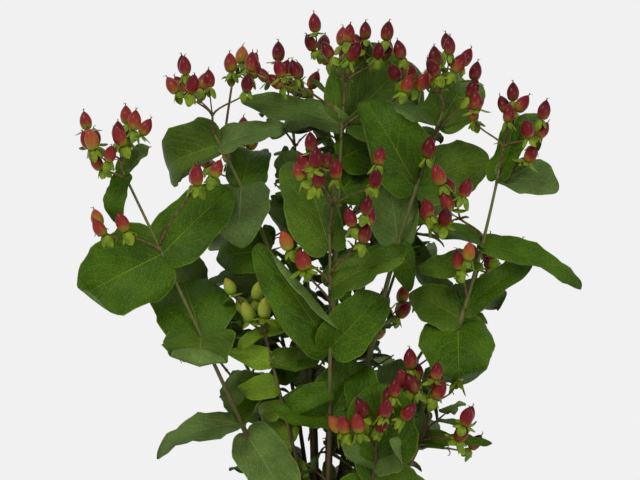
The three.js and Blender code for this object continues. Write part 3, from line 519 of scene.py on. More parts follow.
# A list for each height of a stem: leaves of way, toward, roll, length in mm, breadth and finish.
FRONT_LEAVES = {
    "left": [
        [(187, 10, 62, 60, 0.6, PAINTED_SHEEN), (40, 4, -50, 54, 0.55, DEEP)],
        [(-56, 14, 185, 60, 0.6, PAINTED_SHEEN)],
        [(108, -24, 8, 56, 0.95, DEEP), (-92, 70, 4, 50, 0.95, GREEN)],
        [(206, 14, 5, 62, 0.9, DEEP), (46, -4, -8, 64, 0.7, DEEP)],
        [(250, 20, 30, 34, 0.5, DEEP), (62, -35, -40, 34, 0.5, GREEN)],
    ],
    "left_centre": [
        [(178, 5, 30, 42, 0.8, DEEP)],
        [(-95, 52, 5, 44, 0.95, PAINTED_SHEEN), (76, -30, 0, 46, 0.7, DEEP)],
        [(24, 12, -46, 46, 0.6, PAINTED_SHEEN), (192, -5, 20, 54, 0.8, GREEN)],
    ],
    "centre": [
        [(172, 10, 30, 36, 0.7, DEEP), (60, -8, 0, 52, 0.7, DEEP)],
        [(122, 24, 10, 84, 0.45, DEEP), (46, 22, 5, 56, 0.6, DEEP)],
        [(36, 20, -40, 58, 0.55, GREEN), (-100, 40, 40, 26, 0.7, DEEP)],
        [(107, -16, 0, 88, 0.5, GREEN)],
        [(66, -26, 0, 54, 0.5, DEEP)],
    ],
    "tall": [
        [(50, -20, 0, 50, 0.8, DEEP), (215, -10, 0, 44, 0.7, DEEP)],
        [(161, 12, 150, 76, 0.36, PAINTED_SHEEN), (45, -12, 0, 78, 0.74, GREEN)],
        [(-12, -20, 10, 48, 0.8, DEEP)],
    ],
    "right_centre": [
        [(98, -14, 180, 50, 0.74, PAINTED_SHEEN), (-75, 30, -10, 34, 0.5, DEEP)],
        [(119, 10, 5, 70, 0.62, DEEP), (25, -6, -5, 54, 0.74, GREEN)],
        [(150, 20, 40, 34, 0.6, PAINTED_SHEEN), (58, -22, 0, 60, 0.62, GREEN)],
    ],
    "right": [
        [(-15, 4, -40, 78, 0.46, DEEP), (158, 8, 60, 48, 0.5, DEEP)],
        [(-96, 56, 5, 50, 1.0, DEEP), (-20, -20, -30, 34, 0.7, DEEP)],
        [(172, 8, 20, 48, 0.8, GREEN)],
        [(62, 12, -30, 62, 0.42, DEEP)],
        [(186, 14, 24, 40, 0.5, GREEN)],
        [(4, 10, -36, 42, 0.66, PAINTED_SHEEN), (72, -6, -50, 60, 0.44, DEEP)],
    ],
    "low_right": [
        [(-62, 20, 5, 56, 0.9, GREEN), (98, -20, 10, 92, 0.3, DEEP)],
        [(84, 6, 10, 50, 1.0, DEEP)],
    ],
    "low_outer": [[(6, 10, -55, 44, 0.5, DEEP), (112, -16, 0, 74, 0.34, PAINTED_SHEEN)]],
    "green": [
        [(150, 0, 20, 44, 0.5, YOUNG), (-70, 20, -10, 44, 0.5, YOUNG)],
        [(170, -8, 5, 42, 0.5, YOUNG), (25, 5, -20, 32, 0.5, GREEN)],
        [(168, 5, 10, 28, 0.6, YOUNG), (8, 6, -20, 34, 0.5, GREEN)],
        [(168, 8, 40, 28, 0.5, YOUNG), (20, 5, -20, 22, 0.5, YOUNG)],
    ],
}
# Leaves that look narrower for a fold along the midrib, or broader: stem and number, share of the breadth.
FOLDED = {("right", 0): 0.6, ("right", 5): 0.8, ("tall", 2): 0.8, ("tall", 3): 1.25, ("left", 0): 0.8,
          ("left", 1): 0.8, ("left", 6): 0.9, ("low_outer", 0): 0.7}
# Folds that show well: way from the tip in degrees, place as a share of the way out, and turn in radians.
CREASES = {
    ("left", 4): [(4, 0.3, 2.5), (-84, 0.85, -0.7)],
    ("left", 5): [(-28, 0.62, 2.5), (64, 0.85, -0.9), (-100, 0.8, -0.8)],
    ("left_centre", 3): [(10, 0.7, -1.4), (-80, 0.8, -0.6)],
    ("centre", 2): [(84, 0.16, 2.8), (-84, 0.72, -1.5)],
    ("tall", 3): [(0, 0.05, 0.5)],
    ("right_centre", 2): [(-72, 0.55, 1.9), (30, 0.8, -1.2)],
    ("right_centre", 5): [(-80, 0.8, -0.6)],
    ("right", 0): [(0, 0.2, 0.6), (0, 0.6, 0.3)],
    ("right", 2): [(-6, 0.4, -1.9), (80, 0.8, -0.7), (-100, 0.75, -0.9)],
}
LOBE_REACH, WIDEST, MARGIN_ROUNDING, BASE_FULLNESS = 0.085, 0.485, 0.82, 0.24
# Three waves of a leaf's margin: swing outward and dip as shares of the length, and number along the leaf.
MARGIN_WAVES = ((0.055, 0.034, 1.3), (0.035, 0.018, 2.7), (0.02, 0.009, 5.3))
LEAF_CURL, LEAF_FOLD, LEAF_CLEARANCE, CREASE_RADIUS = 26, 13, 1.3, 0.05
LEAF_GRID, SMALL_LEAF_GRID, LEAF_THICKNESS = (25, 15), (11, 7), 0.36
LOWEST_GROWTH = 21
TWIG_RADIUS, STEM_CLEARANCE, TWIG_CLEARANCE, CUT_CLEARANCE = 0.95, 0.7, 0.4, 0.3
# How a leaf may give way when its first place is taken: turn across, turn up, size.
LEAF_YIELDS = [
    (0, 0, 1), (0, 8, 1), (0, -8, 1), (9, 0, 1), (-9, 0, 1), (0, 16, 0.96), (0, -16, 0.96), (16, 8, 0.92),
    (-16, 8, 0.92), (16, -10, 0.88), (-16, -10, 0.88), (0, 26, 0.86), (26, 0, 0.84), (-26, 0, 0.84),
    (0, -26, 0.8), (38, 12, 0.74), (-38, 12, 0.74), (0, 0, 0.66), (20, 30, 0.66), (-20, 30, 0.66),
]
# Gaps in the front view through which the background shows: middle across and up, half width, half height.
OPEN_GAPS = [(-98, 118, 30, 24), (-47, 262, 12, 30), (-22, 300, 16, 9), (58, 136, 12, 16), (38, 176, 9, 24),
             (160, 130, 50, 46), (-150, 120, 50, 40), (-182, 245, 25, 40), (180, 250, 30, 45)]
UP, VIEWER = vector(0, 0, 1), vector(0, -1, 0)


class Dice:
    """A small generator of repeatable chance."""

    state = 20231

    def roll(self):
        self.state = self.state * 16807 % 2147483647
        return self.state / 2147483647

    def near(self, spread):
        return (2 * self.roll() - 1) * spread


class Space:
    """Everything that has been placed so far. A new piece fits if it passes through none of it."""

    def __init__(self):
        self.edges, self.faces, self.kins = [], [], []
        self.lows, self.highs = np.empty((4000, 3)), np.empty((4000, 3))

    def box(self, outline):
        points = np.concatenate([part.reshape(-1, 3) for part in outline])
        return points.min(axis=0), points.max(axis=0)

    def meet(self, edges, faces):
        """Whether any edge passes through any face."""
        run = (edges[:, 1] - edges[:, 0])[:, None]
        first, second = faces[:, 1] - faces[:, 0], faces[:, 2] - faces[:, 0]
        across = np.cross(run, second)
        size = (first * across).sum(axis=-1)
        flat = np.abs(size) < 1e-9
        size = np.where(flat, 1.0, size)
        offset = edges[:, 0][:, None] - faces[:, 0]
        aside = np.cross(offset, first)
        u = (offset * across).sum(axis=-1) / size
        v = (run * aside).sum(axis=-1) / size
        share = (second * aside).sum(axis=-1) / size
        return bool((~flat & (u >= 0) & (v >= 0) & (u + v <= 1) & (share >= 0) & (share <= 1)).any())

    def fits(self, outline, kin):
        (low, high), count = self.box(outline), len(self.kins)
        near = (self.lows[:count] <= high).all(axis=1) & (self.highs[:count] >= low).all(axis=1)
        others = [i for i in np.flatnonzero(near) if self.kins[i] not in kin]
        if not others:
            return True
        edges, faces = outline
        return not (self.meet(edges, np.concatenate([self.faces[i] for i in others]))
                    or self.meet(np.concatenate([self.edges[i] for i in others]), faces))

    def take(self, outline, kin):
        self.lows[len(self.kins)], self.highs[len(self.kins)] = self.box(outline)
        self.edges.append(outline[0])
        self.faces.append(outline[1])
        self.kins.append(kin)


def rotated(direction, axis, turn):
    angle = radians(turn)
    lying = axis * (axis @ direction) * (1 - cos(angle))
    return direction * cos(angle) + np.cross(axis, direction) * sin(angle) + lying


def new_leaf(base, way, facing, length, breadth, tone, curl, fold, seen=False):
    normal = square_to(way, facing)
    return SimpleNamespace(base=base, way=way, normal=normal, across=np.cross(way, normal), length=length,
                           breadth=breadth, tone=tone, curl=curl, fold=fold, seen=seen, creases=None)


def leaf_point(leaf, share, side=0, half=0):
    turn = leaf.curl * share
    normal = leaf.normal * cos(turn) + leaf.way * sin(turn)
    spine = (leaf.way * sin(turn) - leaf.normal * (1 - cos(turn))) / leaf.curl
    aside = leaf.across * (side * cos(leaf.fold)) + normal * sin(leaf.fold)
    return leaf.base + leaf.length * (spine + half * aside), normal


def leaf_outline(leaf):
    """The few edges and faces of a leaf that the clearance rule tests."""
    ribs = [(leaf.base, leaf.normal, None, None)]
    count = 3 if leaf.seen else 2
    for i in range(1, count + 1):
        angle = i * pi / (count + 1)
        midrib = 0.5 - 0.5 * cos(angle)
        margin = midrib - LOBE_REACH * max(0, cos(angle))
        half = WIDEST * leaf.breadth * sin(angle) ** MARGIN_ROUNDING * (1 + BASE_FULLNESS * cos(angle))
        sides = [leaf_point(leaf, margin, side, half)[0] for side in (-1, 1)]
        ribs.append((*leaf_point(leaf, midrib), *sides))
    ribs.append((*leaf_point(leaf, 1), None, None))
    edges, faces = [], []
    for (a, a_normal, *a_sides), (b, b_normal, *b_sides) in zip(ribs, ribs[1:]):
        for a_side, b_side in zip(a_sides, b_sides):
            start = a if a_side is None else a_side
            end = b if b_side is None else b_side
            if a_side is not None:
                faces.append((a, a_side, end))
            if b_side is not None:
                faces.append((a, end, b))
            for lift in (-LEAF_CLEARANCE, LEAF_CLEARANCE):
                edges.append((start + a_normal * lift, end + b_normal * lift))
                if b_side is not None:
                    edges.append((end + b_normal * lift, b + b_normal * lift))
        edges.append((b - b_normal * LEAF_CLEARANCE, b + b_normal * LEAF_CLEARANCE))
    return np.array(edges), np.array(faces)


def twig_outline(start, end, radius=TWIG_RADIUS + TWIG_CLEARANCE):
    edges, faces = [], []
    for direction in squares(unit(end - start)):
        a, b = start + direction * radius, start - direction * radius
        c, d = end + direction * radius, end - direction * radius
        edges += [(a, c), (b, d)]
        faces += [(a, b, c), (b, d, c)]
    return np.array(edges), np.array(faces)


def in_open_gap(point):
    return any(hypot((point[0] - x) / wide, (point[2] - z) / tall) < 1 for x, z, wide, tall in OPEN_GAPS)


def place_leaf(stem, kin, base, way, facing, roll, length, breadth, tone, seen):
    """Places a leaf, clear of all but its own stem and the leaves of its own pair, or gives up on it."""
    facing = rotated(square_to(way, facing), way, roll)
    aside = np.cross(way, facing)
    curl, fold = radians(LEAF_CURL + dice.near(14)), radians(LEAF_FOLD + dice.near(6))
    for across, up, size in LEAF_YIELDS:
        tried_way = rotated(rotated(way, facing, across), aside, -up)
        leaf = new_leaf(base, tried_way, facing, length * size, breadth, tone, curl, fold, seen)
        outline = leaf_outline(leaf)
        points = outline[1].reshape(-1, 3)
        if points[:, 2].min() < LOWEST_GROWTH or (not seen and any(map(in_open_gap, points))):
            continue
        if space.fits(outline, [stem.name, kin]):
            space.take(outline, kin)
            stem.leaves.append(leaf)
            return


def take_line(stem, start, end, steps, kin):
    shares = [start + (end - start) * i / steps for i in range(steps + 1)]
    for low, high in zip(shares, shares[1:]):
        space.take(twig_outline(stem.along(low), stem.along(high), stem.radius(low) + STEM_CLEARANCE), kin)


def sheet(heap, middle, normals, thickness, spots, upper, under):
    """A thin sheet with a finish for each side, from its middle surface as rows by columns of points."""
    rows, columns = middle.shape[:2]
    swell = 1 - np.broadcast_to(np.linspace(-1, 1, columns), (rows, columns)) ** 4
    swell[0] = swell[-1] = 0
    lift = normals * (thickness / 2 * swell)[..., None]
    starts = [row * columns + column for row in range(rows - 1) for column in range(columns - 1)]
    for points, side, steps in ((middle + lift, upper, (0, 1, columns + 1, columns)),
                                (middle - lift, under, (0, columns, columns + 1, 1))):
        faces = [[start + step for step in steps] for start in starts]
        heap.add(planted(points), faces, side, spots.reshape(-1, 2))


def creased(forward, aside, lift, way, distance, turn):
    """Bends the part of a blade that lies beyond a line across it, on a small radius."""
    ahead, sideways = cos(way), sin(way)
    beyond = np.maximum((forward - 0.5) * ahead + aside * sideways - distance, 0)
    bent = np.minimum(beyond / CREASE_RADIUS, abs(turn))
    flat = beyond - CREASE_RADIUS * bent
    shift = CREASE_RADIUS * np.sin(bent) + flat * cos(turn) - beyond
    rise = CREASE_RADIUS * (1 - np.cos(bent)) + flat * abs(sin(turn))
    return forward + shift * ahead, aside + shift * sideways, lift + copysign(1, turn) * rise


def grow_blade(heap, leaf, chance, under, grid):
    """A leaf in full: arched halves, uneven waved margins, lobes at the base, a twist and some folds."""
    angle = np.linspace(0, pi, grid[0])
    spine, sine = 0.5 - 0.5 * np.cos(angle), np.maximum(np.sin(angle), 0)
    lobes = 1.4 * LOBE_REACH * np.maximum(0, np.cos(angle)) * sine**0.5
    pointing = MARGIN_ROUNDING + chance.uniform(0.0, 0.5) * spine**2
    half = WIDEST * leaf.breadth * sine**pointing * (1 + BASE_FULLNESS * np.cos(angle))
    half = np.maximum(half, 0.006)[:, None]
    out = np.linspace(-1, 1, grid[1])[None, :]
    share = spine[:, None] - lobes[:, None] * np.abs(out) ** 1.7
    uneven, waves = np.ones_like(share), np.zeros_like(share)
    for size, dip, count in MARGIN_WAVES:
        phase = np.where(out > 0, chance.random(), chance.random())
        uneven += size * np.sin(2 * pi * (count * share + phase)) * np.abs(out)
        waves += dip * (0.4 + chance.random()) * np.sin(2 * pi * (count * share + phase + chance.random()))
    aside = out * half * uneven
    arch = half * sin(leaf.fold) * (1.5 * np.abs(out) - 0.5 * out**2)
    lift = arch + waves * out**2 * sine[:, None] + aside * chance.normal() * 0.16 * share
    lift -= chance.normal(0.35, 0.5) * np.maximum(share - 0.5, 0) ** 2
    forward = share
    creases = [(way + chance.uniform(-35, 35), chance.uniform(0.5, 0.85), 2.6 * chance.uniform(-1, 1) ** 3)
               for way in (0, 90, -90)]
    for way, place, turn in leaf.creases or creases:
        way = radians(way)
        extent = hypot(0.5 * cos(way), half.max() * sin(way))
        forward, aside, lift = creased(forward, aside, lift, way, place * extent, turn)
    turn = (leaf.curl * forward)[..., None]
    normal = np.cos(turn) * leaf.normal + np.sin(turn) * leaf.way
    middle = (np.sin(turn) * leaf.way - (1 - np.cos(turn)) * leaf.normal) / leaf.curl
    middle += (aside * cos(leaf.fold))[..., None] * leaf.across + lift[..., None] * normal
    middle = leaf.base + leaf.length * middle
    down, over = np.gradient(middle, axis=(0, 1))
    normals = np.cross(over, down)
    normals /= np.maximum(np.linalg.norm(normals, axis=-1, keepdims=True), 1e-9)
    spots = np.stack([share, np.broadcast_to(0.5 + 0.5 * out, share.shape)], axis=-1)
    sheet(heap, middle, normals, LEAF_THICKNESS, spots, leaf.tone, under)


def leaf_finish(name, dark, light, vein, roughness, raised):
    """A leaf's skin, with its midrib, side veins and rim laid out by the spot along and across the blade."""
    skin, place = finish(name, roughness, 0.07)
    spot = place.draw("UVMap", {}, "UV", uv_map="spot")
    forward = spot.part("X")
    aside = (spot.part("Y") - 0.5).reckon("ABSOLUTE") * 2.0
    midrib = (aside * (forward + 0.7)).step(0.024, 0.006)
    swept = aside * (aside * 0.3 + 0.34)
    ridge = ((forward - swept) * 6.5 + place.mottle(70, 3) * 1.1).reckon("PINGPONG", 0.5)
    side_veins = ridge.step(0.05, 0.012) * aside.step(1.0, 0.5)
    veins = midrib.reckon("MAXIMUM", side_veins * 0.6)
    fine = place.mottle(1000, 4)
    colour = place.mottle(45, 4).step(0.32, 0.68).mix(dark, light)
    colour = (fine.step(0.52, 0.3) * 0.7).mix(colour, dark)
    colour = (fine.step(0.5, 0.72) * 0.26).reckon("MAXIMUM", veins * 0.5).mix(colour, vein)
    colour = (aside.step(0.95, 1.0) * 0.4).mix(colour, vein)
    colour = place.mottle(210, 2).step(0.74, 0.78).mix(colour, "4f4020")
    return surface(skin, colour, veins * raised + fine * 0.5 + ridge.step(0.0, 0.5) * 0.35, 0.0004)


def leaf_piece(where, group, short=0):
    """Joins the leaves of some stems, those under a short length with fewer points, into one piece."""
    blades = Heap()
    for stem in group:
        for leaf in stem.leaves:
            grid = SMALL_LEAF_GRID if leaf.length < short else LEAF_GRID
            grow_blade(blades, leaf, leaf_chance, UNDER, grid)
    blades.piece("leaves_" + where, "leaf", ["leaves_" + stem.name for stem in group], *leaf_skins)


space = Space()
for stem in stems:
    start, end = stem.share_beyond(stem.budding, CUT_CLEARANCE), stem.share_beyond(1.0, -CUT_CLEARANCE)
    take_line(stem, 0.0, stem.budding, 3, stem.name + " bough")
    take_line(stem, start, end, 5, stem.name)
    space.take(twig_outline(stem.tip, stem.hub), stem.name + " end")
dice = Dice()
for stem in front_stems:
    for height, group in zip(stem.heights, FRONT_LEAVES[stem.name]):
        for way, toward, *shape in group:
            way, facing = seen_direction(way, toward), UP if abs(toward) > 35 else VIEWER
            place_leaf(stem, stem.kin(height), stem.at(height), way, facing, *shape, True)
    for number, leaf in enumerate(stem.leaves):
        leaf.breadth *= FOLDED.get((stem.name, number), 1)
        leaf.creases = CREASES.get((stem.name, number))
leaf_skins = [
    leaf_finish("leaf_deep", "243c02", "365108", "6e7f22", 0.5, -0.6),
    leaf_finish("leaf_green", "2a3f07", "3e5512", "70812b", 0.47, -0.6),
    # Painted sheen: a paler grey-green laid into the colour where light shines greyish off a leaf.
    leaf_finish("leaf_bloomy", "36461e", "495f2a", "76854a", 0.56, -0.6),
    leaf_finish("leaf_young", "47600d", "627c1b", "8b9d45", 0.5, -0.6),
    leaf_finish("leaf_under", "3c4f1f", "52692f", "7d8d4f", 0.66, 0.6),
]
leaf_chance = np.random.default_rng(31)
leaf_piece("front", front_stems)


# The fruit in front ends each stem in a branched cluster, with smaller ones at the sides. A fruit is a firm
# smooth egg with a thin beak of three styles, on five green sepals bent back along its stalk. It ripens from
# yellow-green by orange and red to a dark wine red.
# In mm: a fruit as the clearance rule takes it, and the berry that shows.
FRUIT_LENGTH, FRUIT_RADIUS, FRUIT_WAIST, SEPAL_LENGTH = 13, 4.6, 0.46, 5.6
BERRY_LENGTH, BERRY_RADIUS, BERRY_WAIST = 12.8, 4.2, 0.42
BERRY_RINGS, BERRY_SIDES = 15, 18
# Each of a fruit's three styles: length in mm, and how far it parts from the others.
STYLES = [(3.4, 1.1), (2.3, 0.35), (2.0, 0.3)]
STYLE_RADII, STYLE_STEPS = (0.34, 0.12), 7
# Radii in mm of the twigs at their start and end, and the last one's swelling under the fruit.
STALK_RADII, RAY_RADII = (0.9, 0.75), (0.66, 0.54)
SHOOT_RADII, FRUIT_STALK_RADII = (0.8, 0.5), (0.5, 0.42, 0.6)
HUB_BRACT, FORK_BRACT, BRACT_BREADTH, BRACT_GRID = 7, 4, 0.36, (9, 5)
BRACT_CURL, BRACT_FOLD = 0.7, 0.3
RIPENESS_STEPS = (0.18, 0.42, 0.64, 0.86)
RAY_TILT, FEW_RAY_TILT = 58, 40
TOP_STALK_SHARE, RAY_STALK, SIDE_STALK = 0.75, 8, 6
FRUIT_SPACING, FRUIT_CLEARANCE = 11.8, 0.8
# Each of a fruit's five sepals: length and width in mm. Those wider than the broad width hang lower.
BROAD, SEPAL_THICKNESS, SEPAL_GRID = 5, 0.3, (11, 7)
SEPALS = [(9.4, 6.4), (6.6, 3.6), (8.6, 5.8), (7.0, 3.4), (7.8, 4.2)]
# Clusters: ray in mm, fruits and ripeness. At the sides, height, way, toward and stalk come first.
END_CLUSTERS = {
    "left": (16, 9, 0.6), "left_centre": (24, 10, 0.75), "centre": (24, 10, 0.9), "tall": (26, 13, 1.0),
    "right_centre": (23, 10, 0.85), "right": (22, 9, 0.8), "low_right": (10, 7, 0.85),
    "low_outer": (16, 8, 0.8), "green": (7, 4, 0.0),
}
SIDE_CLUSTERS = {
    "left": [(200, 150, 26, 22, 10, 3, 0.5), (201, 66, 26, 32, 8, 3, 0.5)],
    "centre": [(186, 46, 34, 26, 11, 4, 0.85), (180, 140, 34, 36, 6, 1, 0.5)],
    "right_centre": [(246, 70, 30, 15, 5, 1, 0.9)],
    "right": [(209, 142, 34, 24, 14, 7, 0.7), (170, 104, 40, 22, 6, 2, 0.6)],
    "low_outer": [(74, 4, 16, 20, 7, 2, 0.9)],
}
# How far a fruit's foot may move when its first place is taken: across, back, up.
FRUIT_YIELDS = [
    (0, 0, 0), (0, 0, 4), (0, -5, 0), (0, 5, 0), (5, 0, 2), (-5, 0, 2), (0, 0, 8), (0, -9, 3), (0, 9, 3),
    (8, 0, 4), (-8, 0, 4), (0, -14, 0), (0, 14, 0), (6, -12, 6), (-6, -12, 6), (12, 0, -4), (-12, 0, -4),
]


def fruit_outline(foot, axis, size):
    waist = FRUIT_LENGTH * FRUIT_WAIST * size
    low, high = ([foot + axis * height + spoke(axis, turn) * (radius + FRUIT_CLEARANCE) for turn in turns(6)]
                 for height, radius in ((-1, SEPAL_LENGTH * size), (waist, FRUIT_RADIUS * size)))
    bottom, top = foot - axis * 3, foot + axis * (FRUIT_LENGTH * size + 1)
    edges, faces = [(bottom, top)], []
    for i in range(6):
        after = (i + 1) % 6
        faces += [(bottom, low[after], low[i]), (low[i], low[after], high[i])]
        faces += [(low[after], high[after], high[i]), (high[i], high[after], top)]
        edges += [(bottom, low[i]), (low[i], low[after]), (low[i], high[i]), (high[i], high[after])]
        edges += [(high[i], top), (low[i], low[(i + 3) % 6])]
    return np.array(edges), np.array(faces)


def plan_fruits(hub, axis, ray, count):
    """A cluster's fruits before they are fitted in: one on the hub, and up to three on each ray round it."""
    rays = ceil((count - 1) / 3)
    phase = dice.roll() * 360
    fruits = [SimpleNamespace(fork=None, foot=hub + axis * ray * TOP_STALK_SHARE, size=1 + dice.near(0.1))]
    for i in range(rays):
        out = spoke(axis, radians(phase + i * 360 / rays + dice.near(12)))
        tilt = radians(RAY_TILT + dice.near(8) if rays > 2 else FEW_RAY_TILT)
        reach = out * sin(tilt) + axis * cos(tilt)
        fork = hub + reach * (ray * (1 + dice.near(0.15)))
        edge = unit(np.cross(reach, axis))
        for hand in (0, 1, -1)[: count - 1 - i * 3]:
            direction = reach * 0.5 + axis * 0.8 + reach * (0.35 if hand else 0) + edge * (hand * 0.75)
            foot = fork + unit(direction) * (SIDE_STALK if hand else RAY_STALK)
            fruits.append(SimpleNamespace(fork=fork, foot=foot, size=1 + dice.near(0.1)))
    for fruit, foot in zip(fruits, move_apart([fruit.foot for fruit in fruits], FRUIT_SPACING, 24)):
        fruit.foot = foot
    return fruits


def grow_cluster(stem, base, start_run, axis, hub, kin, ray, count, ripeness):
    """Places a cluster's fruits one by one with their twigs, and drops any that finds no room."""
    kept = []
    for fruit in plan_fruits(hub, axis, ray, count):
        start = hub if fruit.fork is None else fruit.fork
        fruit.axis = unit(unit(fruit.foot - start) * 0.8 + UP)
        for step in FRUIT_YIELDS:
            foot = fruit.foot + vector(*step)
            line = [hub, foot] if fruit.fork is None else [hub, start, foot]
            pieces = [fruit_outline(foot, fruit.axis, fruit.size)]
            pieces += [twig_outline(a, b) for a, b in zip(line, line[1:])]
            if all(space.fits(piece, [kin]) for piece in pieces):
                for piece in pieces:
                    space.take(piece, kin)
                fruit.foot = foot
                kept.append(fruit)
                break
    stem.sprays.append(SimpleNamespace(base=base, start_run=start_run, axis=axis, hub=hub, fruits=kept,
                                       ripeness=ripeness))


def grow_end_cluster(stem, *shape):
    grow_cluster(stem, stem.tip, stem.heading(1), stem.axis, stem.hub, stem.name + " end", *shape)


def grow_side_cluster(stem, height, way, toward, stalk, *shape):
    base, axis = stem.at(height), seen_direction(way, toward)
    hub = base + axis * stalk
    outline = twig_outline(base, hub)
    if space.fits(outline, [stem.name, *map(stem.kin, stem.heights)]):
        kin = f"{stem.name} side {height}"
        space.take(outline, kin)
        grow_cluster(stem, base, unit(axis + UP), axis, hub, kin, *shape)


def grow_twig(heap, start, end, start_run, end_run, thick, thin, flare=0.0):
    """A twig that leaves one way and arrives another, bowed between."""
    reach = sqrt((end - start) @ (end - start)) * 0.85
    shares = np.linspace(0, 1, 8)
    line = [(2 * t**3 - 3 * t**2 + 1) * start + (t**3 - 2 * t**2 + t) * reach * start_run
            + (3 * t**2 - 2 * t**3) * end + (t**3 - t**2) * reach * end_run for t in shares]
    radii = thick + (thin - thick) * shares + flare * shares**8 + 0.25 * (1 - shares) ** 8
    heap.add(*limb(line, radii, 7))


def grow_berry(heap, fruit, tone):
    around = turns(BERRY_SIDES)
    seams = [1 - 0.035 * (0.5 - 0.5 * cos(3 * turn)) ** 4 for turn in around]
    rim = np.array([spoke(fruit.axis, turn) * seam for turn, seam in zip(around, seams)])
    shares, rings = np.linspace(0, 1, BERRY_RINGS), []
    for share in shares:
        if share < BERRY_WAIST:
            girth = 0.4 + 0.6 * sqrt(1 - (1 - share / BERRY_WAIST) ** 2)
        else:
            girth = 0.06 + 0.94 * (1 - ((share - BERRY_WAIST) / (1 - BERRY_WAIST)) ** 1.9) ** 0.9
        centre = fruit.foot + fruit.axis * (0.2 + BERRY_LENGTH * fruit.size * share)
        rings.append(centre + rim * (BERRY_RADIUS * fruit.size * girth))
    points, faces = lofted(rings)
    heap.add(planted(points), faces, tone, [(share, 0.5) for share in shares for _ in around])


def grow_styles(heap, fruit, chance):
    """The dark beak on a fruit's tip, which parts into three short threads, one of them curling over."""
    tip = fruit.foot + fruit.axis * (BERRY_LENGTH * fruit.size - 0.5)
    phase = chance.random() * 6.3
    for k, (length, parting) in enumerate(STYLES):
        out = spoke(fruit.axis, phase + k * 2.09)
        length *= 0.8 + 0.4 * chance.random()
        line = [tip + length * (fruit.axis * t * (1 - 0.3 * parting * t * t) + out * parting * 0.5 * t**2.6)
                for t in np.linspace(0, 1, STYLE_STEPS)]
        heap.add(*limb(line, np.linspace(*STYLE_RADII, STYLE_STEPS), 4), 1)


def grow_sepals(heap, fruit, chance):
    """Five unequal rounded sepals, each bending out from the fruit's foot and hanging round its stalk."""
    phase = chance.random() * 6.3
    hanging = 0.25 if chance.random() < 0.14 else 1.0
    rows, columns = SEPAL_GRID
    shares, outs = 0.5 - 0.5 * np.cos(np.linspace(0, pi, rows)), np.linspace(-1, 1, columns)[:, None]
    spots = np.stack(np.broadcast_arrays(shares[:, None], 0.5 + 0.2 * outs[:, 0]), axis=-1)
    for k, (long, wide) in enumerate(SEPALS):
        out = spoke(fruit.axis, phase + k * 2 * pi / 5 + chance.normal() * 0.1)
        length = fruit.size * long * (0.9 + 0.2 * chance.random())
        bend = hanging * radians(-(86 if wide > BROAD else 62) + 26 * chance.random() ** 2)
        point = fruit.foot + out * (1.6 if wide > BROAD else 0.9)
        middle, normals = np.empty((2, rows, columns, 3))
        for row, (share, after) in enumerate(zip(shares, [*shares[1:], 1.0])):
            rise = bend * min(1.0, 0.25 + share / 0.25)
            normals[row] = fruit.axis * cos(rise) - out * sin(rise)
            half = fruit.size * wide * 0.5 * max(0.05, sin(pi * share) ** 0.6, 0.4 * (1 - share * 3))
            middle[row] = point + half * (np.cross(fruit.axis, out) * outs - normals[row] * 0.22 * outs**2)
            point = point + (out * cos(rise) + fruit.axis * sin(rise)) * length * (after - share)
        sheet(heap, middle, normals, SEPAL_THICKNESS, spots, 0, 1)


def grow_bracts(heap, base, axis, length, chance):
    """A pair of small narrow leaves where a twig divides."""
    turn = chance.random() * 6.3
    for hand in (1, -1):
        way = unit(spoke(axis, turn) * hand + axis * (0.35 + 0.5 * chance.random()))
        long = length * (0.8 + 0.4 * chance.random())
        leaf = new_leaf(base, way, axis, long, BRACT_BREADTH, 0, BRACT_CURL, BRACT_FOLD)
        grow_blade(heap, leaf, chance, 1, BRACT_GRID)


def berry_tone(ripeness, chance):
    wanted = ripeness + chance.normal() * 0.13 * (ripeness > 0)
    return sum(wanted > step for step in RIPENESS_STEPS)


def dress_cluster(spray, chance, twigs, berries, sepals):
    """Everything that shows of a cluster: its twigs, berries, styles, sepals and bracts."""
    hub, axis = spray.hub, spray.axis
    grow_twig(twigs, spray.base, hub, spray.start_run, axis, *STALK_RADII)
    grow_bracts(sepals, hub, axis, HUB_BRACT, chance)
    forks = {}
    for fruit in spray.fruits:
        start, run = hub, axis
        if fruit.fork is not None:
            start, run = fruit.fork, unit(unit(fruit.fork - hub) + axis * 0.3)
            forks[tuple(start)] = start, run
        start_run = unit(run + unit(fruit.foot - start))
        grow_twig(twigs, start, fruit.foot, start_run, fruit.axis, *FRUIT_STALK_RADII)
        grow_berry(berries, fruit, berry_tone(spray.ripeness, chance))
        grow_styles(twigs, fruit, chance)
        grow_sepals(sepals, fruit, chance)
    for fork, run in forks.values():
        grow_twig(twigs, hub, fork, unit(axis + unit(fork - hub)), run, *RAY_RADII)
        grow_bracts(sepals, fork, run, FORK_BRACT, chance)


def berry_finish(name, base, body, deep):
    """Satin skin that is greener round the foot, with the ripe colour flushing up in uneven clouds."""
    skin, place = finish(name, 0.24, 0.1)
    uneven = place.draw("UVMap", {}, "UV", uv_map="spot").part("X") + place.mottle(130, 3) * 0.8
    flushed = uneven.step(0.8, 1.35).mix(uneven.step(0.4, 0.85).mix(base, body), deep)
    streaks = place.stretched(0.14).mottle(700, 3)
    return surface(skin, (streaks.step(0.5, 0.72) * 0.5).mix(flushed, deep), streaks, 0.0002)


def plain_finish(name, dark, light, scale, roughness):
    """A small green or brown part, clouded between two tones."""
    skin, place = finish(name, roughness)
    clouds = place.mottle(scale, 4)
    return surface(skin, clouds.step(0.35, 0.65).mix(dark, light), clouds, 0.0002)


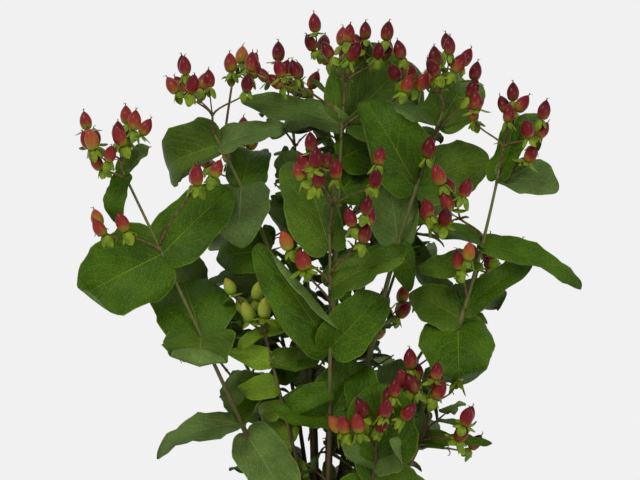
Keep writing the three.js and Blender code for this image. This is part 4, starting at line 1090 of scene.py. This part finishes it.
def fruit_pieces(where, group):
    """Joins all that shows of some stems' fruit, kind by kind, into three pieces."""
    twigs, berries, sepals = Heap(), Heap(), Heap()
    for stem in group:
        for base, tip, axis in stem.shoots:
            grow_twig(twigs, base, tip, unit(axis + UP * 0.3), axis, *SHOOT_RADII)
        for spray in stem.sprays:
            dress_cluster(spray, fruit_chance, twigs, berries, sepals)
    nodes = ["fruit_" + stem.name for stem in group]
    berries.piece("berries_" + where, "fruit", nodes, *berry_skins)
    twigs.piece("fruit_twigs_" + where, "fruit", nodes, *twig_skins)
    sepals.piece("sepals_" + where, "fruit", nodes, *sepal_skins)


for stem in front_stems:
    grow_end_cluster(stem, *END_CLUSTERS[stem.name])
    for row in SIDE_CLUSTERS.get(stem.name, []):
        grow_side_cluster(stem, *row)
berry_skins = [
    berry_finish("berry_green", "64781c", "73822a", "7c7a28"),
    berry_finish("berry_turning", "6c741a", "7c4a1c", "7c2c1a"),
    berry_finish("berry_orange", "6c6a1c", "70261a", "5e1418"),
    berry_finish("berry_red", "74521e", "601216", "4c0a10"),
    berry_finish("berry_wine", "64401d", "520c12", "360509"),
]
twig_skins = [plain_finish("twig", "3f2b20", "5a4a2b", 300, 0.6),
              plain_finish("style", "1f140f", "38261a", 900, 0.7)]
sepal_skins = [plain_finish("sepal", "475b0a", "64750f", 260, 0.5),
               plain_finish("sepal_under", "4e6112", "667818", 260, 0.6)]
fruit_chance = np.random.default_rng(77)
fruit_pieces("front", front_stems)


# The stems behind fill the crown out on its far side by the same rule: a fruit cluster at each tip, and
# pairs of leaves up the stem, each pair turned square to the last.
BACK_LEAF, BACK_LEAF_RISE, BACK_LEAF_SHRINK, BACK_LEAF_BREADTH = 60, 22, 0.24, 0.68
BACK_CLUSTER = (21, 7, 0.8)


def grown_direction(azimuth, rise):
    azimuth, rise = radians(azimuth), radians(rise)
    return vector(cos(azimuth) * cos(rise), sin(azimuth) * cos(rise), sin(rise))


for number, stem in enumerate(back_stems, len(FRONT_STEMS)):
    grow_end_cluster(stem, *BACK_CLUSTER)
    outward = degrees(atan2(stem.tip[1], stem.tip[0]))
    facing = UP + grown_direction(outward, 0) * 0.9
    start_turn = dice.near(30)
    for pair, height in enumerate(stem.heights):
        for half_turn in (0, 180):
            azimuth = outward + start_turn + pair * 90 + half_turn + dice.near(14)
            way = grown_direction(azimuth, BACK_LEAF_RISE + dice.near(20))
            length = BACK_LEAF * (1 - BACK_LEAF_SHRINK * height / stem.tip[2]) * (1 + dice.near(0.1))
            tone = (DEEP, GREEN, PAINTED_SHEEN, GREEN, DEEP)[(2 * pair + number + half_turn // 180) % 5]
            place_leaf(stem, stem.kin(height), stem.at(height), way, facing, dice.near(18), length,
                       BACK_LEAF_BREADTH, tone, False)
leaf_piece("back", back_stems)
fruit_pieces("back", back_stems)


# Between the main leaves and clusters is finer growth, where the same rule still finds room for it: open
# sprays of fruit, single leaves, and short side shoots with two pairs of little leaves each.
SIDE_SHOOT_LENGTH, LITTLE_LEAF, LITTLE_LEAF_BREADTH, SHORT_LEAF = 22, 25, 0.55, 32
SHOOTS_FROM, FRONT_SHOOTS_TO, SHOOT_SPACING, SHOOT_TURN, STEM_TURN = 34, 150, 17, 68, 40
# For each stem, sprays as in the table of side clusters.
FINER_SPRAYS = {
    "left": [(245, 150, 40, 18, 8, 3, 0.5), (204, 58, 14, 42, 8, 3, 0.45)],
    "left_centre": [(266, 84, -30, 56, 8, 3, 0.45)],
    "centre": [(196, 62, 40, 40, 10, 3, 0.8), (168, 128, 34, 24, 6, 2, 0.6)],
    "tall": [(286, 140, 26, 40, 8, 3, 0.85), (280, 30, 20, 44, 8, 2, 0.6)],
    "right_centre": [(272, 50, 18, 34, 8, 2, 0.9)],
    "right": [(246, 34, 24, 20, 7, 2, 0.8), (192, 150, 44, 26, 6, 2, 0.75)],
    "low_outer": [(78, 14, 48, 30, 8, 3, 0.85)],
    "low_right": [(74, 130, 40, 18, 8, 3, 0.45)],
    "green": [(140, 100, 20, 14, 5, 2, 0.0)],
}
# And leaves of height, way, toward, roll, length, breadth and finish.
FINER_LEAVES = {
    "tall": [(291, 34, -34, 0, 70, 0.8, GREEN), (262, 24, -30, 0, 50, 0.7, DEEP),
             (262, 160, -30, 0, 46, 0.7, DEEP)],
    "right_centre": [(288, 66, -44, 0, 56, 0.6, GREEN), (262, 40, -36, 0, 46, 0.7, DEEP)],
    "left_centre": [(222, 130, -30, 0, 44, 0.7, DEEP)],
    "green": [(76, 176, -20, 10, 46, 0.9, YOUNG), (36, 190, -20, 0, 46, 0.8, YOUNG),
              (114, 184, 24, 20, 30, 0.55, YOUNG), (60, -84, 14, 0, 40, 0.45, DEEP),
              (90, 20, -30, 0, 40, 0.6, DEEP)],
    "centre": [(80, 250, 14, 0, 50, 0.5, DEEP), (112, 200, 20, 10, 34, 0.5, DEEP),
               (56, 200, 30, 0, 44, 0.6, GREEN)],
    "low_right": [(68, 28, 22, 140, 42, 0.6, PAINTED_SHEEN), (68, 140, 22, 215, 38, 0.6, PAINTED_SHEEN),
                  (48, 210, 24, 0, 56, 0.8, DEEP), (52, -100, 30, 0, 46, 0.9, DEEP),
                  (40, -30, 20, 0, 44, 0.7, DEEP)],
    "low_outer": [(56, 130, 0, 0, 54, 0.5, DEEP), (40, -70, 20, 0, 40, 0.6, GREEN)],
    "right": [(118, 172, 20, 0, 44, 0.6, DEEP), (104, 20, -20, 0, 40, 0.6, DEEP)],
}
# Smaller gaps that show the background too, and which only the finer growth can keep clear of.
OPEN_GAPS += [(-66, 112, 14, 24), (-57, 72, 10, 18), (-25, 119, 9, 11), (-12, 80, 9, 14), (35, 118, 6, 15),
              (46, 142, 7, 10), (-64, 182, 9, 12)]


def grow_side_shoot(stem, height, azimuth):
    """A short shoot from the stem with a pair of little leaves halfway and another at its end."""
    base, axis = stem.at(height), grown_direction(azimuth, 38 + dice.near(16))
    length = SIDE_SHOOT_LENGTH * (1 + dice.near(0.25))
    tip = base + axis * length
    outline = twig_outline(base + axis * 2, tip, TWIG_RADIUS)
    kin = f"{stem.name} shoot {height} {azimuth}"
    own = [stem.name, stem.name + " bough", *map(stem.kin, stem.heights)]
    if in_open_gap(base) or in_open_gap(tip) or not space.fits(outline, own):
        return
    space.take(outline, kin)
    stem.shoots.append((base, tip, axis))
    side, other = squares(axis)
    for place, out in ((0.55, other), (0.55, -other), (1.0, side), (1.0, -side)):
        way = unit(out + axis * (0.5 + 0.4 * place))
        tone = (GREEN, DEEP, GREEN, PAINTED_SHEEN)[int(dice.roll() * 4)]
        place_leaf(stem, kin, base + axis * length * place, way, UP + axis * 0.5, dice.near(25),
                   LITTLE_LEAF * (1.1 - 0.3 * place) * (1 + dice.near(0.2)), LITTLE_LEAF_BREADTH, tone, False)


for stem in stems:
    stem.leaves, stem.sprays = [], []
for stem in front_stems:
    for height, way, toward, *shape in FINER_LEAVES.get(stem.name, []):
        place_leaf(stem, stem.kin(height), stem.at(height), seen_direction(way, toward), VIEWER, *shape, True)
    for row in FINER_SPRAYS.get(stem.name, []):
        grow_side_cluster(stem, *row)
for number, stem in enumerate(stems):
    in_front = stem in front_stems
    highest = FRONT_SHOOTS_TO if in_front else int(stem.tip[2]) - 6
    for step, height in enumerate(range(SHOOTS_FROM, highest, SHOOT_SPACING)):
        for half_turn in (0, 180):
            azimuth = (step * SHOOT_TURN + number * STEM_TURN + half_turn + dice.near(20)) % 360
            if not in_front or 20 < azimuth < 160:
                grow_side_shoot(stem, height, azimuth)
leaf_piece("fine", stems, SHORT_LEAF)
fruit_pieces("fine", stems)


# The plant stands on a plain pale floor in a pale studio, lit softly from above and in front, with the camera
# level with the leaves and close enough that the pot is below the picture, as in the photograph.
FLOOR_RADIUS = 1.5
MIDDLE = Vector((-0.00325, 0.0, 0.3323))
CAMERA_DISTANCE, VIEW_WIDTH, SENSOR_WIDTH = 1.8, 0.416, 36


def lamp(name, place, size, watts, colour):
    light = bpy.data.lights.new(name, "AREA")
    light.shape, light.size, light.energy, light.color = "DISK", size, watts, colour
    made = set_out(bpy.data.objects.new(name, light))
    made.location = place
    made.rotation_euler = (MIDDLE - Vector(place)).to_track_quat("-Z", "Y").to_euler()
    made.visible_glossy = name != "rim"


floor_shape = Heap([(x, y, 0.0) for x, y in circle(FLOOR_RADIUS, 96)], [tuple(range(96))])
floor_shape.thing("floor", plain_finish("pale_floor", "e2e1de", "e8e7e4", 3, 0.9))

world = bpy.data.worlds.new("studio")
world.use_nodes = True
sky_height = draw(world.node_tree, "TexCoord", output="Generated").part("Z")
level = sky_height.step(0.2, 0.9).mix("f1f1f1", "ffffff")
feed(world.node_tree.nodes["Background"].inputs["Color"], sky_height.step(-0.15, -0.6).mix(level, "a8a8a6"))
bpy.context.scene.world = world
bpy.context.scene.view_settings.view_transform = "Standard"
lamp("key", (-1.0, -1.5, 1.8), 0.7, 26, (1.0, 0.98, 0.95))
lamp("fill", (1.2, -1.6, 0.4), 1.0, 12, (0.97, 0.99, 1.0))
lamp("rim", (0.4, 1.6, 1.4), 0.8, 10, (1.0, 1.0, 1.0))

lens = bpy.data.cameras.new("front")
lens.sensor_width = SENSOR_WIDTH
lens.lens = SENSOR_WIDTH * CAMERA_DISTANCE / VIEW_WIDTH
camera = set_out(bpy.data.objects.new("front", lens))
camera.location = (MIDDLE[0], -CAMERA_DISTANCE, MIDDLE[2])
camera.rotation_euler = (pi / 2, 0, 0)
bpy.context.scene.camera = camera
